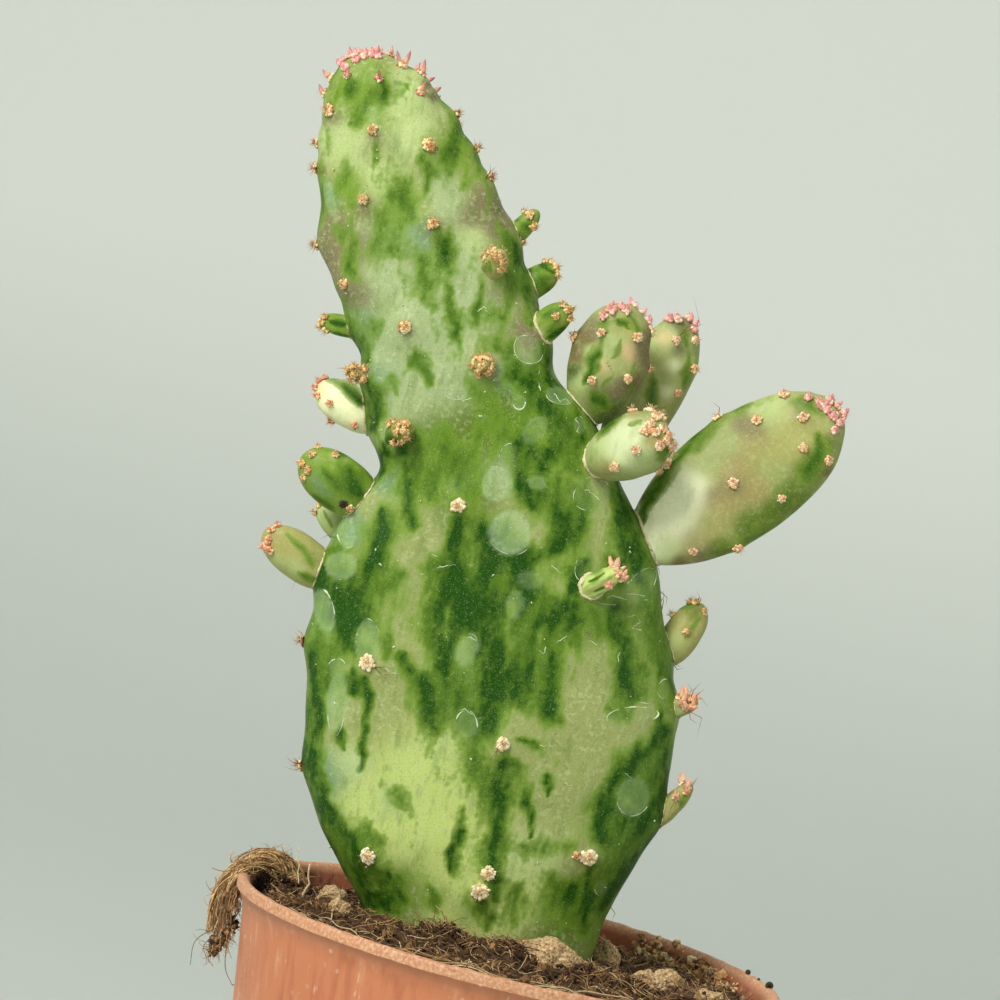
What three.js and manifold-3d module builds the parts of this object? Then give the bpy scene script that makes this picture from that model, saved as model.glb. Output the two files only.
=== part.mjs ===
// A variegated drooping prickly pear growing in a small plastic nursery pot. Millimetres, +Z up.
// The origin is under the middle of the pot, on the surface that it stands on. The plant's broad face looks
// along -Y. The stem is one old flat pad with a waist that leans to -X. Buds and side pads grow from its edges
// and faces, and every areole has a felt cushion with bristles. The stem's foot stands in a hole in the soil.
import * as THREE from "three";
import { mergeVertices } from "three/addons/utils/BufferGeometryUtils.js";
import Module from "manifold-3d";

const wasm = await Module();
wasm.setup();

// Driving dimensions of the pot
const POT_HEIGHT = 56;
const RIM_RADIUS = 32.5;
const RIM_LIP_WIDTH = 1.3;
const RIM_LIP_HEIGHT = 1.7;
const RIM_ROUND = 0.5;
const FOOT_ROUND = 0.8;
const WALL = 1.0;
const WALL_TAPER = THREE.MathUtils.degToRad(7.3);
const DRAIN_HOLES = 6;
const DRAIN_RADIUS = 2.4;
const DRAIN_CIRCLE_RADIUS = 14;
const POT_SIDES = 36;

// Driving dimensions of the plant and the soil
const JOINT_GAP = 0.3; // between a pad and what it grows from, and between the soil and what stands in it
const SOIL_LEVEL = 53.9;
const SOIL_EDGE_DROP = 1.6; // the soil's edge at the wall lies this much lower
const SOIL_SIDES = 32;
const ROOT_DEPTH = 1.4; // how far a pad's or bud's narrow end reaches into the stem
const AREOLE_RADIUS = 0.72;
const BRISTLE_LENGTH = 1.7;
const SPINE_LENGTH = 3.2;
const SPINE_RADIUS = 0.2;
const SHOOT_CLEARANCE = 1.2; // no areole stands nearer than this to a pad or bud
const TUBERCLE_HEIGHT = 0.5;
const TUBERCLE_REACH = 2.4;
const STEM_SQUARENESS = 2.35; // exponent of a cross-section: 2 is an ellipse, more has a flatter face
const SHOOT_SQUARENESS = 2.15;
const SHOOT_BLUNTNESS = 2.3; // the same for a pad's or bud's outline
const STEM_STEPS = 36;
const STEM_SIDES = 20;

// The old stem from its rounded foot in the soil to its tip: left edge and right edge as [x, z], half thickness
const STEM = [
  [[-3.6, 44.6], [-3.6, 44.6], 0.0],
  [[-8.5, 45.4], [1.6, 45.2], 2.8],
  [[-13.8, 49.4], [7.6, 49.0], 4.7],
  [[-17.4, 55.0], [9.7, 55.0], 5.7],
  [[-21.0, 59.2], [10.4, 60.4], 6.3],
  [[-25.0, 64.2], [12.0, 65.6], 6.7],
  [[-28.0, 70.0], [14.1, 72.0], 7.0],
  [[-30.0, 78.4], [14.2, 78.6], 7.1],
  [[-31.5, 87.0], [12.7, 86.4], 7.0],
  [[-31.5, 94.2], [9.8, 94.2], 6.8],
  [[-29.6, 100.0], [7.0, 101.0], 6.6],
  [[-27.2, 105.2], [2.9, 107.2], 6.4],
  [[-29.3, 109.8], [-1.2, 113.0], 6.2],
  [[-31.2, 114.2], [-5.2, 117.3], 6.1],
  [[-32.7, 118.6], [-10.0, 120.6], 5.9],
  [[-36.3, 123.6], [-11.8, 124.8], 5.7],
  [[-40.2, 129.8], [-15.1, 129.8], 5.3],
  [[-42.1, 137.2], [-18.7, 136.4], 4.8],
  [[-43.6, 144.4], [-24.8, 143.2], 4.2],
  [[-43.2, 148.6], [-29.8, 148.4], 3.4],
  [[-41.2, 150.9], [-33.4, 151.1], 2.3],
  [[-37.6, 152.2], [-37.6, 152.2], 0.0],
];

// Areoles as [x, z]: on the stem's front, on its edges, and the young ones along its tip and near it
const FACE_AREOLES = [
  [-41.3, 144.1], [-36.6, 143.1], [-29.9, 142.8], [-35.7, 135.0], [-27.6, 134.1], [-35.4, 125.4],
  [-27.7, 121.9], [-17.3, 103.4], [-23.1, 83.3], [-6.0, 77.9], [-17.7, 62.0], [6.1, 67.5], [-4.5, 61.8],
];
const EDGE_AREOLES = [
  [-42.6, 138.4], [-41.1, 129.4], [-31.6, 83.8], [-28.4, 69.5], [-28.2, 147.2], [-25.0, 144.0],
  [-22.9, 141.1], [11.2, 61.6],
];
const TIP_AREOLES = [
  [-43.8, 146.4], [-42.6, 149.6], [-40.8, 151.2], [-39.2, 152.0], [-37.4, 152.3], [-35.6, 151.9],
  [-33.2, 151.2], [-30.6, 149.6],
];
const TIP_FACE_AREOLES = [[-37.6, 148.7], [-33.6, 148.2], [-39.9, 149.6]];

// Side pads: where each leaves the stem, its tip, its width and thickness, which way its broad face looks,
// where it is widest, and its areoles as a number of rows and a number in each row.
const PADS = {
  pad_right_long: {
    base: [4.4, 0, 104.3], tip: [22.9, -2, 124.2], width: 14.6, thick: 6.4,
    facing: [-0.2, -1, 0.1], belly: 0.5, rows: [4, 5],
  },
  pad_right_upper: {
    base: [-4.9, -0.8, 117.4], tip: [-3.7, -2.4, 130.4], width: 9.0, thick: 5.2,
    facing: [0, -1, 0.1], belly: 0.52, rows: [2, 4],
  },
  pad_right_back: {
    base: [-2.2, 2.8, 113.4], tip: [3.4, 6.8, 130.6], width: 7.8, thick: 4.6,
    facing: [0.4, -1, 0], belly: 0.6, rows: [3, 4],
  },
  pad_right_front: {
    base: [-2.9, -4.2, 112.4], tip: [4.0, -9.6, 116.9], width: 7.6, thick: 6.2,
    facing: [-0.3, -1, 0.7], belly: 0.5, rows: [2, 4],
  },
};

// Buds, which are pads that have only begun to grow: the same values, all with their broad face to the front
const BUDS = {
  bud_right_1: { base: [-18.6, 0, 135.0], tip: [-16.2, -0.4, 139.0], width: 2.5, thick: 2.2 },
  bud_right_2: { base: [-16.0, 0.4, 129.5], tip: [-12.5, 0.8, 133.0], width: 3.5, thick: 3.0 },
  bud_right_3: { base: [-13.4, -1.8, 124.5], tip: [-10.1, -4.0, 128.8], width: 3.7, thick: 3.0 },
  bud_right_4: { base: [10.6, 2.0, 91.8], tip: [13.3, 2.8, 98.6], width: 4.4, thick: 3.8 },
  bud_right_5: { base: [11.8, -1.2, 85.8], tip: [15.0, -1.8, 87.7], width: 2.6, thick: 2.4 },
  bud_right_6: { base: [13.8, -0.6, 73.0], tip: [16.6, -1.0, 78.0], width: 2.4, thick: 2.2 },
  bud_left_1: { base: [-34.0, 0, 120.6], tip: [-38.4, -0.4, 120.7], width: 2.5, thick: 2.2 },
  bud_left_2: { base: [-30.6, -2.4, 115.6], tip: [-33.9, -4.0, 115.5], width: 2.0, thick: 1.8 },
  bud_left_3: { base: [-29.2, 1.0, 110.9], tip: [-36.7, 1.4, 112.9], width: 5.0, thick: 4.2 },
  bud_left_4: { base: [-28.0, -1.0, 101.0], tip: [-36.3, -2.6, 104.0], width: 5.8, thick: 5.0 },
  bud_left_5: { base: [-30.8, 0, 91.6], tip: [-38.6, -0.6, 94.4], width: 4.6, thick: 4.0 },
  bud_left_6: { base: [-28.8, 3.4, 96.4], tip: [-33.6, 4.8, 99.4], width: 3.2, thick: 2.8 },
  bud_face_1: { base: [-19.8, -4.4, 130.8], tip: [-19.0, -8.2, 132.4], width: 2.9, thick: 2.6 },
  bud_face_2: { base: [-18.5, -4.9, 119.3], tip: [-18.1, -8.4, 120.2], width: 3.0, thick: 2.8 },
  bud_face_3: { base: [-26.6, -3.4, 109.2], tip: [-24.6, -8.2, 111.2], width: 3.4, thick: 3.0 },
  bud_face_4: { base: [-1.4, -5.2, 96.8], tip: [2.6, -8.6, 100.6], width: 2.6, thick: 2.4 },
};
const BUD_SHAPE = { facing: [0, -1, 0], belly: 0.5, rows: [1, 3] };
const isPad = (shoot) => shoot.rows[0] > 1;

// Where the rows of areoles stand, as shares of the way from a shoot's base to its tip
const PAD_ROWS = { first: 0.36, last: 0.82, crown: 0.955 };
const BUD_ROW = 0.74;
const TIP_ROW = 0.995;

// Pale bark and stone chips that lie in the top of the soil: centre, half sizes, and a turn about Z in degrees
const CHIPS = [
  { at: [5.4, -10.2, 55.9], half: [4.2, 2.4, 2.3], turn: 15 },
  { at: [12.4, 3.8, 56.0], half: [1.8, 1.4, 2.6], turn: 60 },
  { at: [16.8, -7.4, 54.9], half: [2.4, 1.7, 1.7], turn: -20 },
  { at: [19.4, 0.6, 54.3], half: [2.0, 1.5, 1.9], turn: 40 },
  { at: [24.4, -2.0, 53.9], half: [2.2, 1.7, 1.4], turn: 80 },
  { at: [-21.2, 3.6, 54.6], half: [2.0, 1.4, 1.3], turn: 10 },
  { at: [-19.9, -3.8, 54.9], half: [1.5, 1.2, 1.1], turn: -50 },
];

// A hank of coconut fibre that hooks over the rim: its path, half its width and half its thickness, its strands
const COIR_PATH = [
  [-23.2, 6.6, 55.4], [-26.4, 6.5, 57.0], [-30.1, 6.2, 57.6], [-32.7, 5.8, 57.0], [-33.7, 5.3, 54.6],
  [-33.4, 4.8, 51.8], [-32.9, 4.2, 48.8], [-32.5, 3.8, 46.2],
];
const COIR_HALF = [2.3, 0.8];
const COIR_STRANDS = 6;
const STRAND_HALF = [0.6, 0.4];
const STRAND_LENGTH_STEP = 0.8; // the strands end at three lengths, this far apart
const COIR_STEPS = 7;

const vector = (p) => new THREE.Vector3(...p);

function seeded(seed) {
  let state = seed;
  return () => {
    state = (state + 0x6d2b79f5) | 0;
    let t = Math.imul(state ^ (state >>> 15), 1 | state);
    t = (t + Math.imul(t ^ (t >>> 7), 61 | t)) ^ t;
    return ((t ^ (t >>> 14)) >>> 0) / 4294967296;
  };
}

function solidOf(geometry) {
  const bare = new THREE.BufferGeometry().setAttribute("position", geometry.getAttribute("position"));
  bare.setIndex(geometry.index);
  const merged = mergeVertices(bare, 1e-4);
  return new wasm.Manifold(
    new wasm.Mesh({
      numProp: 3,
      vertProperties: new Float32Array(merged.attributes.position.array),
      triVerts: new Uint32Array(merged.index.array),
    }),
  );
}

function geometryOf(solid) {
  const mesh = solid.getMesh();
  const geometry = new THREE.BufferGeometry();
  geometry.setAttribute("position", new THREE.BufferAttribute(mesh.vertProperties, 3));
  geometry.setIndex(new THREE.BufferAttribute(mesh.triVerts, 1));
  return geometry;
}

// A closed skin through rings of points, with one point at each end. As seen from u = 1, point(u, angle) turns
// anticlockwise.
function skin(point, stops, sides) {
  const inner = stops.slice(1, -1);
  const positions = [point(stops[0], 0), point(stops.at(-1), 0)];
  inner.forEach((u) => {
    for (let j = 0; j < sides; j++) positions.push(point(u, (j / sides) * 2 * Math.PI));
  });
  const at = (i, j) => 2 + i * sides + (j % sides);
  const faces = [];
  for (let j = 0; j < sides; j++) {
    faces.push(0, at(0, j + 1), at(0, j));
    faces.push(1, at(inner.length - 1, j), at(inner.length - 1, j + 1));
    for (let i = 0; i + 1 < inner.length; i++) {
      faces.push(at(i, j), at(i, j + 1), at(i + 1, j + 1));
      faces.push(at(i, j), at(i + 1, j + 1), at(i + 1, j));
    }
  }
  const geometry = new THREE.BufferGeometry().setFromPoints(positions);
  geometry.setIndex(faces);
  return geometry;
}

// Stops from 0 to 1: even ones, and ones that crowd towards both ends, where a rounded body turns quickly.
const evenStops = (count) => Array.from({ length: count + 1 }, (_, i) => i / count);
const roundedStops = (count) => evenStops(count).map((u) => (1 - Math.cos(Math.PI * u)) / 2);

// Cosine and sine bent towards a flatter face
const flatten = (value, exponent) => Math.sign(value) * Math.abs(value) ** (2 / exponent);

function normalAt(point, u, angle) {
  const step = 0.01;
  const around = point(u, angle + step).sub(point(u, angle - step));
  const along = point(Math.min(u + step, 1), angle).sub(point(Math.max(u - step, 0), angle));
  return around.cross(along).normalize();
}

// The old stem's surface without its areoles, grown outwards by a given amount. A curve along each edge holds
// the half thickness as its y.
const edgeCurve = (side) => {
  const points = STEM.map((station) => new THREE.Vector3(station[side][0], station[2], station[side][1]));
  return new THREE.CatmullRomCurve3(points, false, "catmullrom", 0.5);
};
const stemLeft = edgeCurve(0);
const stemRight = edgeCurve(1);

function stemSurface(u, angle, grow = 0) {
  const left = stemLeft.getPoint(u);
  const right = stemRight.getPoint(u);
  const half = Math.max(left.y, 0) + (u > 0 && u < 1 ? grow : 0);
  const across = right.clone().sub(left).setY(0).multiplyScalar(0.5);
  const reach = across.length() + grow;
  const middle = left.clone().add(right).multiplyScalar(0.5).setY(0);
  const out = across.lengthSq() > 0 ? across.normalize().multiplyScalar(reach) : across;
  const end = u <= 0 ? -grow : u >= 1 ? grow : 0;
  return middle
    .addScaledVector(out, flatten(Math.cos(angle), STEM_SQUARENESS))
    .add(new THREE.Vector3(0, half * flatten(Math.sin(angle), STEM_SQUARENESS), end));
}

// Where the stem's outline holds [x, z]: how far up it is, and how far across, from -1 to 1
function stemPlace([x, z]) {
  let low = 0.02;
  let high = 0.98;
  const side = (u) => {
    const left = stemLeft.getPoint(u);
    const right = stemRight.getPoint(u);
    return (right.x - left.x) * (z - left.z) - (right.z - left.z) * (x - left.x);
  };
  for (let i = 0; i < 40; i++) {
    const middle = (low + high) / 2;
    if (side(middle) > 0) low = middle;
    else high = middle;
  }
  const left = stemLeft.getPoint(low);
  const right = stemRight.getPoint(low);
  return { u: low, across: THREE.MathUtils.clamp((2 * (x - left.x)) / (right.x - left.x) - 1, -1, 1) };
}

const acrossToAngle = (across) => Math.acos(flatten(across, 4 / STEM_SQUARENESS));

// The front areoles repeat on the back, mirrored and half a step higher, as the spirals of a real stem do.
function stemAreoles() {
  const front = FACE_AREOLES.map((p) => ({ ...stemPlace(p), young: false }));
  const back = front.map((a) => ({ ...a, u: Math.min(a.u + 0.025, 0.93), across: -a.across, back: true }));
  const edges = EDGE_AREOLES.map((p) => ({ ...stemPlace(p), young: false }));
  const tips = TIP_AREOLES.map((p) => ({ ...stemPlace(p), young: true }));
  const tipFaces = TIP_FACE_AREOLES.map((p) => ({ ...stemPlace(p), young: true }));
  const tipBacks = tipFaces.map((a) => ({ ...a, across: -a.across, back: true }));
  return [...front, ...back, ...edges, ...tips, ...tipFaces, ...tipBacks].map((a) => {
    const angle = (a.back ? 1 : -1) * acrossToAngle(a.across);
    return { at: stemSurface(a.u, angle), normal: normalAt(stemSurface, a.u, angle), young: a.young };
  });
}

// Each areole sits on a low rise of the skin.
function withTubercles(surface, areoles) {
  return (u, angle) => {
    const at = surface(u, angle);
    if (u <= 0 || u >= 1) return at;
    const near = areoles.map((a) => Math.exp(-a.at.distanceToSquared(at) / TUBERCLE_REACH ** 2));
    return at.addScaledVector(normalAt(surface, u, angle), TUBERCLE_HEIGHT * Math.max(...near));
  };
}

// A side pad's surface: an egg outline between its base and tip, flatter one way than the other
function shootSurface(shoot) {
  const axis = vector(shoot.tip).sub(vector(shoot.base)).normalize();
  const base = vector(shoot.base).addScaledVector(axis, -ROOT_DEPTH);
  const length = vector(shoot.tip).distanceTo(base);
  const across = axis.clone().cross(vector(shoot.facing)).normalize();
  const through = axis.clone().cross(across).normalize();
  return (u, angle) => {
    const span = u < shoot.belly ? shoot.belly : 1 - shoot.belly;
    const swell = Math.sqrt(1 - (Math.abs(u - shoot.belly) / span) ** SHOOT_BLUNTNESS);
    return base
      .clone()
      .addScaledVector(axis, u * length)
      .addScaledVector(across, (shoot.width / 2) * swell * flatten(Math.cos(angle), SHOOT_SQUARENESS))
      .addScaledVector(through, (shoot.thick / 2) * swell * flatten(Math.sin(angle), SHOOT_SQUARENESS));
  };
}

// Areoles stand in staggered rows round a pad or bud, with young ones crowded round its tip.
function shootAreoles(shoot, surface) {
  const [rows, perRow] = shoot.rows;
  const row = (u, shift, young) =>
    Array.from({ length: perRow }, (_, i) => ({ u, angle: ((i + shift) * 2 * Math.PI) / perRow, young }));
  const places = isPad(shoot) ? row(PAD_ROWS.crown, 0.25, true) : row(BUD_ROW, 0, true);
  for (let i = 0; isPad(shoot) && i < rows; i++) {
    const u = THREE.MathUtils.lerp(PAD_ROWS.first, PAD_ROWS.last, i / (rows - 1));
    places.push(...row(u, (i % 2) / 2, false));
  }
  places.push({ u: TIP_ROW, angle: 0, young: true });
  return places.map(({ u, angle, young }) => {
    return { at: surface(u, angle), normal: normalAt(surface, u, angle), young };
  });
}

// A cone that stands on a root point and is sunk into what is under it
function spike(root, direction, length, radius, sides = 3) {
  const sunk = Math.min(radius * 1.4, 0.6);
  const turn = new THREE.Quaternion().setFromUnitVectors(new THREE.Vector3(0, 1, 0), direction);
  const cone = new THREE.ConeGeometry(radius, length + sunk, sides).translate(0, (length - sunk) / 2, 0);
  return solidOf(cone.applyQuaternion(turn).translate(root.x, root.y, root.z));
}

function tilted(normal, amount, random) {
  const aside = new THREE.Vector3(random() - 0.5, random() - 0.5, random() - 0.5).cross(normal).normalize();
  return normal.clone().addScaledVector(aside, amount).normalize();
}

// A felt cushion with bristles and spines, or on young growth a fleshy scale leaf that stands over it
function areole({ at, normal, young }, size, spines, random) {
  const radius = AREOLE_RADIUS * size;
  if (young) return spike(at, tilted(normal, 0.3, random), BRISTLE_LENGTH * size, radius * 1.2);
  const made = [spike(at, normal, radius * 0.9, radius * 1.15, 5)];
  made.push(spike(at, tilted(normal, 0.45, random), BRISTLE_LENGTH * size, radius * 0.5));
  for (let i = 0; i < spines; i++) {
    made.push(spike(at, tilted(normal, 0.75, random), SPINE_LENGTH * size, SPINE_RADIUS));
  }
  return wasm.Manifold.union(made);
}

function shootBody(shoot) {
  const [steps, sides] = isPad(shoot) ? [10, 14] : [6, 8];
  return solidOf(skin(shootSurface(shoot), roundedStops(steps), sides));
}

function shootTufts(shoot, seed) {
  const random = seeded(seed);
  const size = isPad(shoot) ? 0.85 : 0.6;
  const areoles = shootAreoles(shoot, shootSurface(shoot));
  return areoles.map((a, i) => areole(a, size, i % 5 === 2 ? 1 : 0, random));
}

// Leaves out the tufts that would grow into any of the solids beside them.
function clearOf(tufts, solids) {
  return tufts.filter((tuft) => solids.every((solid) => tuft.intersect(solid).isEmpty()));
}

// The bare stem, or the space that it takes with a gap all round it
function stemBody(areoles, grow) {
  const surface = withTubercles((u, angle) => stemSurface(u, angle, grow), areoles);
  return solidOf(skin(surface, evenStops(STEM_STEPS), STEM_SIDES));
}

// The stem with its areoles and buds, which grow out of it. A pad or bud takes the place of the areole there.
function makeStem(areoles, buds, pads) {
  const random = seeded(11);
  const shoots = [...Object.values(PADS), ...buds];
  const isFree = ({ at }) => shoots.every((s) => vector(s.base).distanceTo(at) > s.width / 2 + SHOOT_CLEARANCE);
  const free = areoles.filter(isFree);
  const stemTufts = free.map((a, i) => areole(a, 1, !a.young && i % 3 === 0 ? 1 : 0, random));
  const budTufts = buds.flatMap((bud, i) => shootTufts(bud, 40 + i));
  const tufts = clearOf([...stemTufts, ...budTufts], pads);
  return wasm.Manifold.union([stemBody(areoles, 0), ...buds.map(shootBody), ...tufts]);
}

// A side pad, cut off just short of the stem that it grows from. What the cut leaves loose is dropped.
function makePad(pad, seed, stemSpace, neighbours) {
  const tufts = clearOf(shootTufts(pad, seed), neighbours.map(shootBody));
  const whole = wasm.Manifold.union([shootBody(pad), ...tufts]).subtract(stemSpace);
  return whole.decompose().sort((a, b) => b.volume() - a.volume())[0];
}

// The pot: a tapered thin wall with a plain lip, and drain holes round its flat bottom
const LIP_FOOT = POT_HEIGHT - RIM_LIP_HEIGHT;
const outerRadiusAt = (z) => RIM_RADIUS - RIM_LIP_WIDTH - (LIP_FOOT - z) * Math.tan(WALL_TAPER);
const innerRadiusAt = (z) => outerRadiusAt(z) - WALL;

function makePot() {
  const profile = [
    [0, 0], [outerRadiusAt(0) - FOOT_ROUND, 0], [outerRadiusAt(FOOT_ROUND), FOOT_ROUND],
    [outerRadiusAt(LIP_FOOT), LIP_FOOT], [RIM_RADIUS, LIP_FOOT],
    [RIM_RADIUS, POT_HEIGHT - RIM_ROUND], [RIM_RADIUS - RIM_ROUND, POT_HEIGHT],
    [RIM_RADIUS - RIM_LIP_WIDTH, POT_HEIGHT], [innerRadiusAt(LIP_FOOT), LIP_FOOT],
    [innerRadiusAt(WALL + FOOT_ROUND), WALL + FOOT_ROUND], [innerRadiusAt(WALL) - FOOT_ROUND, WALL],
    [0, WALL],
  ];
  const points = profile.map((p) => new THREE.Vector2(...p));
  let pot = solidOf(new THREE.LatheGeometry(points, POT_SIDES).rotateX(Math.PI / 2));
  for (let i = 0; i < DRAIN_HOLES; i++) {
    const angle = (2 * Math.PI * i) / DRAIN_HOLES;
    const hole = new THREE.CylinderGeometry(DRAIN_RADIUS, DRAIN_RADIUS, 4 * WALL, 12).rotateX(Math.PI / 2);
    hole.translate(DRAIN_CIRCLE_RADIUS * Math.cos(angle), DRAIN_CIRCLE_RADIUS * Math.sin(angle), 0);
    pot = pot.subtract(solidOf(hole));
  }
  return pot;
}

// The soil's top: it slopes up towards the front, heaps round the stem's foot and is lumpy all over.
function soilTop(x, y) {
  const slope = -0.036 * y;
  const heap = 0.9 * Math.exp(-((x + 4) ** 2 / 260 + y ** 2 / 150));
  const broadLumps = 0.42 * Math.sin(0.62 * x + 1.3) * Math.cos(0.55 * y);
  const smallLumps = 0.26 * Math.sin(1.31 * x - 0.9 * y) - 0.2 * Math.cos(1.7 * y);
  return SOIL_LEVEL + slope + heap + broadLumps + smallLumps;
}

function makeSoil(stemSpace, chipSpaces) {
  const floor = WALL + JOINT_GAP;
  const wallRadius = (z) => innerRadiusAt(z) - JOINT_GAP;
  const topShares = [0.96, 0.84, 0.71, 0.57, 0.42, 0.22];
  const edgeTop = SOIL_LEVEL - SOIL_EDGE_DROP;
  const ring = (radius, height) => (angle) => {
    const [x, y] = [radius * Math.cos(angle), radius * Math.sin(angle)];
    return new THREE.Vector3(x, y, height ?? soilTop(x, y));
  };
  const rings = [
    ring(0, floor),
    ring(wallRadius(floor) - FOOT_ROUND, floor),
    ring(wallRadius(floor + FOOT_ROUND), floor + FOOT_ROUND),
    ring(wallRadius(edgeTop), edgeTop),
    ...topShares.map((share) => ring(wallRadius(edgeTop) * share)),
    ring(0),
  ];
  const soil = solidOf(skin((i, angle) => rings[i](angle), [...rings.keys()], SOIL_SIDES));
  return [stemSpace, ...chipSpaces].reduce((rest, space) => rest.subtract(space), soil);
}

function makeChip(chip, seed, grow = 0) {
  const random = seeded(seed);
  const ball = new THREE.IcosahedronGeometry(1, 1).deleteAttribute("normal").deleteAttribute("uv");
  const stone = mergeVertices(ball, 1e-4);
  const at = stone.getAttribute("position");
  for (let i = 0; i < at.count; i++) {
    const scale = 0.8 + 0.3 * random();
    at.setXYZ(i, at.getX(i) * scale, at.getY(i) * scale, at.getZ(i) * scale);
  }
  stone.scale(...chip.half.map((h) => h + grow)).rotateZ(THREE.MathUtils.degToRad(chip.turn));
  return solidOf(stone.translate(...chip.at));
}

// The coir: a slim core, and strands that wind along it, splay as they hang and end at three lengths
function makeCoir() {
  const path = new THREE.CatmullRomCurve3(COIR_PATH.map(vector));
  const sideways = new THREE.Vector3(0.12, 1, 0).normalize();
  const bundle = (lane, [halfWidth, halfThick], sides, reach) => {
    const surface = (u, angle) => {
      const tangent = path.getTangent(u);
      const up = tangent.clone().cross(sideways).normalize();
      const swell = Math.sqrt(1 - Math.abs(2 * u - 1) ** 6);
      const [aside, above] = lane(u);
      return path
        .getPoint(u)
        .addScaledVector(sideways, aside + swell * halfWidth * Math.cos(angle))
        .addScaledVector(up, above + swell * halfThick * Math.sin(angle))
        .addScaledVector(tangent, u === 1 ? reach : 0);
    };
    return solidOf(skin(surface, evenStops(COIR_STEPS), sides));
  };
  const core = bundle(() => [0, 0], COIR_HALF, 7, 0);
  const strands = Array.from({ length: COIR_STRANDS }, (_, i) => {
    const lane = (u) => {
      const turn = (2 * Math.PI * i) / COIR_STRANDS + 0.9 * u;
      const splay = 0.95 + 0.25 * u;
      return [splay * COIR_HALF[0] * Math.cos(turn), 0.8 * COIR_HALF[1] * Math.sin(turn)];
    };
    return bundle(lane, STRAND_HALF, 4, STRAND_LENGTH_STEP * (i % 3));
  });
  return wasm.Manifold.union([core, ...strands]);
}

function part(name, solid, colour, roughness) {
  const material = new THREE.MeshStandardMaterial({ color: colour, roughness, metalness: 0 });
  const mesh = new THREE.Mesh(geometryOf(solid), material);
  mesh.name = name;
  return mesh;
}

const areoles = stemAreoles();
const stemSpace = stemBody(areoles, JOINT_GAP);
const chipSpaces = CHIPS.map((chip, i) => makeChip(chip, 100 + i, JOINT_GAP));
const buds = Object.values(BUDS).map((bud) => ({ ...BUD_SHAPE, ...bud }));
const pads = Object.values(PADS).map((pad, i, all) => {
  const otherPads = all.filter((other) => other !== pad);
  return makePad(pad, 70 + i, stemSpace, [...buds, ...otherPads]);
});

const plant = new THREE.Group();
plant.add(part("pot", makePot(), 0xb5694a, 0.5));
plant.add(part("soil", makeSoil(stemSpace, chipSpaces), 0x3a2c20, 0.95));
plant.add(part("stem", makeStem(areoles, buds, pads), 0x6f9a55, 0.42));
Object.keys(PADS).forEach((name, i) => plant.add(part(name, pads[i], 0x93ad68, 0.42)));
CHIPS.forEach((chip, i) => plant.add(part(`chip_${i + 1}`, makeChip(chip, 100 + i), 0xd2b98c, 0.9)));
plant.add(part("coir", makeCoir(), 0x8a6238, 0.9));

export default plant;
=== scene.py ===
import math

import bmesh
import bpy
import numpy as np
from mathutils import Matrix, Vector
from mathutils.bvhtree import BVHTree


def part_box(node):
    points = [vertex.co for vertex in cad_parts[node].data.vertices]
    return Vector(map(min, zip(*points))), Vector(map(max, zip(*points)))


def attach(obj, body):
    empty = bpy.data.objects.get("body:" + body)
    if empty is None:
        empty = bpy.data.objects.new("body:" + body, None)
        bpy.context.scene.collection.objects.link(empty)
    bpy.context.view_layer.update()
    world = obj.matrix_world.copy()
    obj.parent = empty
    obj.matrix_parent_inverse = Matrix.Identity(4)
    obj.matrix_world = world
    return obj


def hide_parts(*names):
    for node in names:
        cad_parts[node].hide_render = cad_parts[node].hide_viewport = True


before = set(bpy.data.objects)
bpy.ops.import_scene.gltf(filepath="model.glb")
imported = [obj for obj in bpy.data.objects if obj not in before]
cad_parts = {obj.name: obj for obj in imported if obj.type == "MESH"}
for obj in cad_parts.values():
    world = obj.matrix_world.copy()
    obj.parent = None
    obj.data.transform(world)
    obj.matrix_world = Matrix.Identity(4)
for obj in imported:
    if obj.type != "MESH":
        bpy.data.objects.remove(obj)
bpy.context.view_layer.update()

# The camera looks at the plant's broad face from 35 cm away, a little downwards, and is rolled to the left,
# so that the pot leans in the picture. Everything here is worked out in millimetres and turned to metres at
# the end.
MM = 0.001
PHOTO_WIDTH = 1000
FOCAL_LENGTH_PIXELS = 2993
SENSOR_MM = 36
CAMERA_DISTANCE = 350
NEAREST_MM = 10
CAMERA_PITCH = math.radians(0.7)
CAMERA_ROLL = math.radians(13.3)
AIM = np.array([-12.8, 0.0, 105.1])

looking = np.array([0, math.cos(CAMERA_PITCH), -math.sin(CAMERA_PITCH)])
level_right = np.array([1.0, 0, 0])
level_up = np.array([0, math.sin(CAMERA_PITCH), math.cos(CAMERA_PITCH)])
photo_right = math.cos(CAMERA_ROLL) * level_right + math.sin(CAMERA_ROLL) * level_up
photo_up = math.cos(CAMERA_ROLL) * level_up - math.sin(CAMERA_ROLL) * level_right
eye = AIM - looking * CAMERA_DISTANCE

camera_data = bpy.data.cameras.new("camera")
camera_data.sensor_width = SENSOR_MM
camera_data.lens = FOCAL_LENGTH_PIXELS / PHOTO_WIDTH * SENSOR_MM
camera_data.clip_start = NEAREST_MM * MM
camera = bpy.data.objects.new("camera", camera_data)
turned = Matrix(np.array([photo_right, photo_up, -looking]).T).to_4x4()
camera.matrix_world = Matrix.Translation(eye * MM) @ turned
bpy.context.scene.collection.objects.link(camera)
bpy.context.scene.camera = camera


def photo_pixels(points):
    """Where the camera sees points that are given in millimetres."""
    away = np.asarray(points) - eye
    scale = FOCAL_LENGTH_PIXELS / (away @ looking)
    return PHOTO_WIDTH / 2 + np.stack([away @ photo_right * scale, -(away @ photo_up) * scale], -1)


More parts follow.
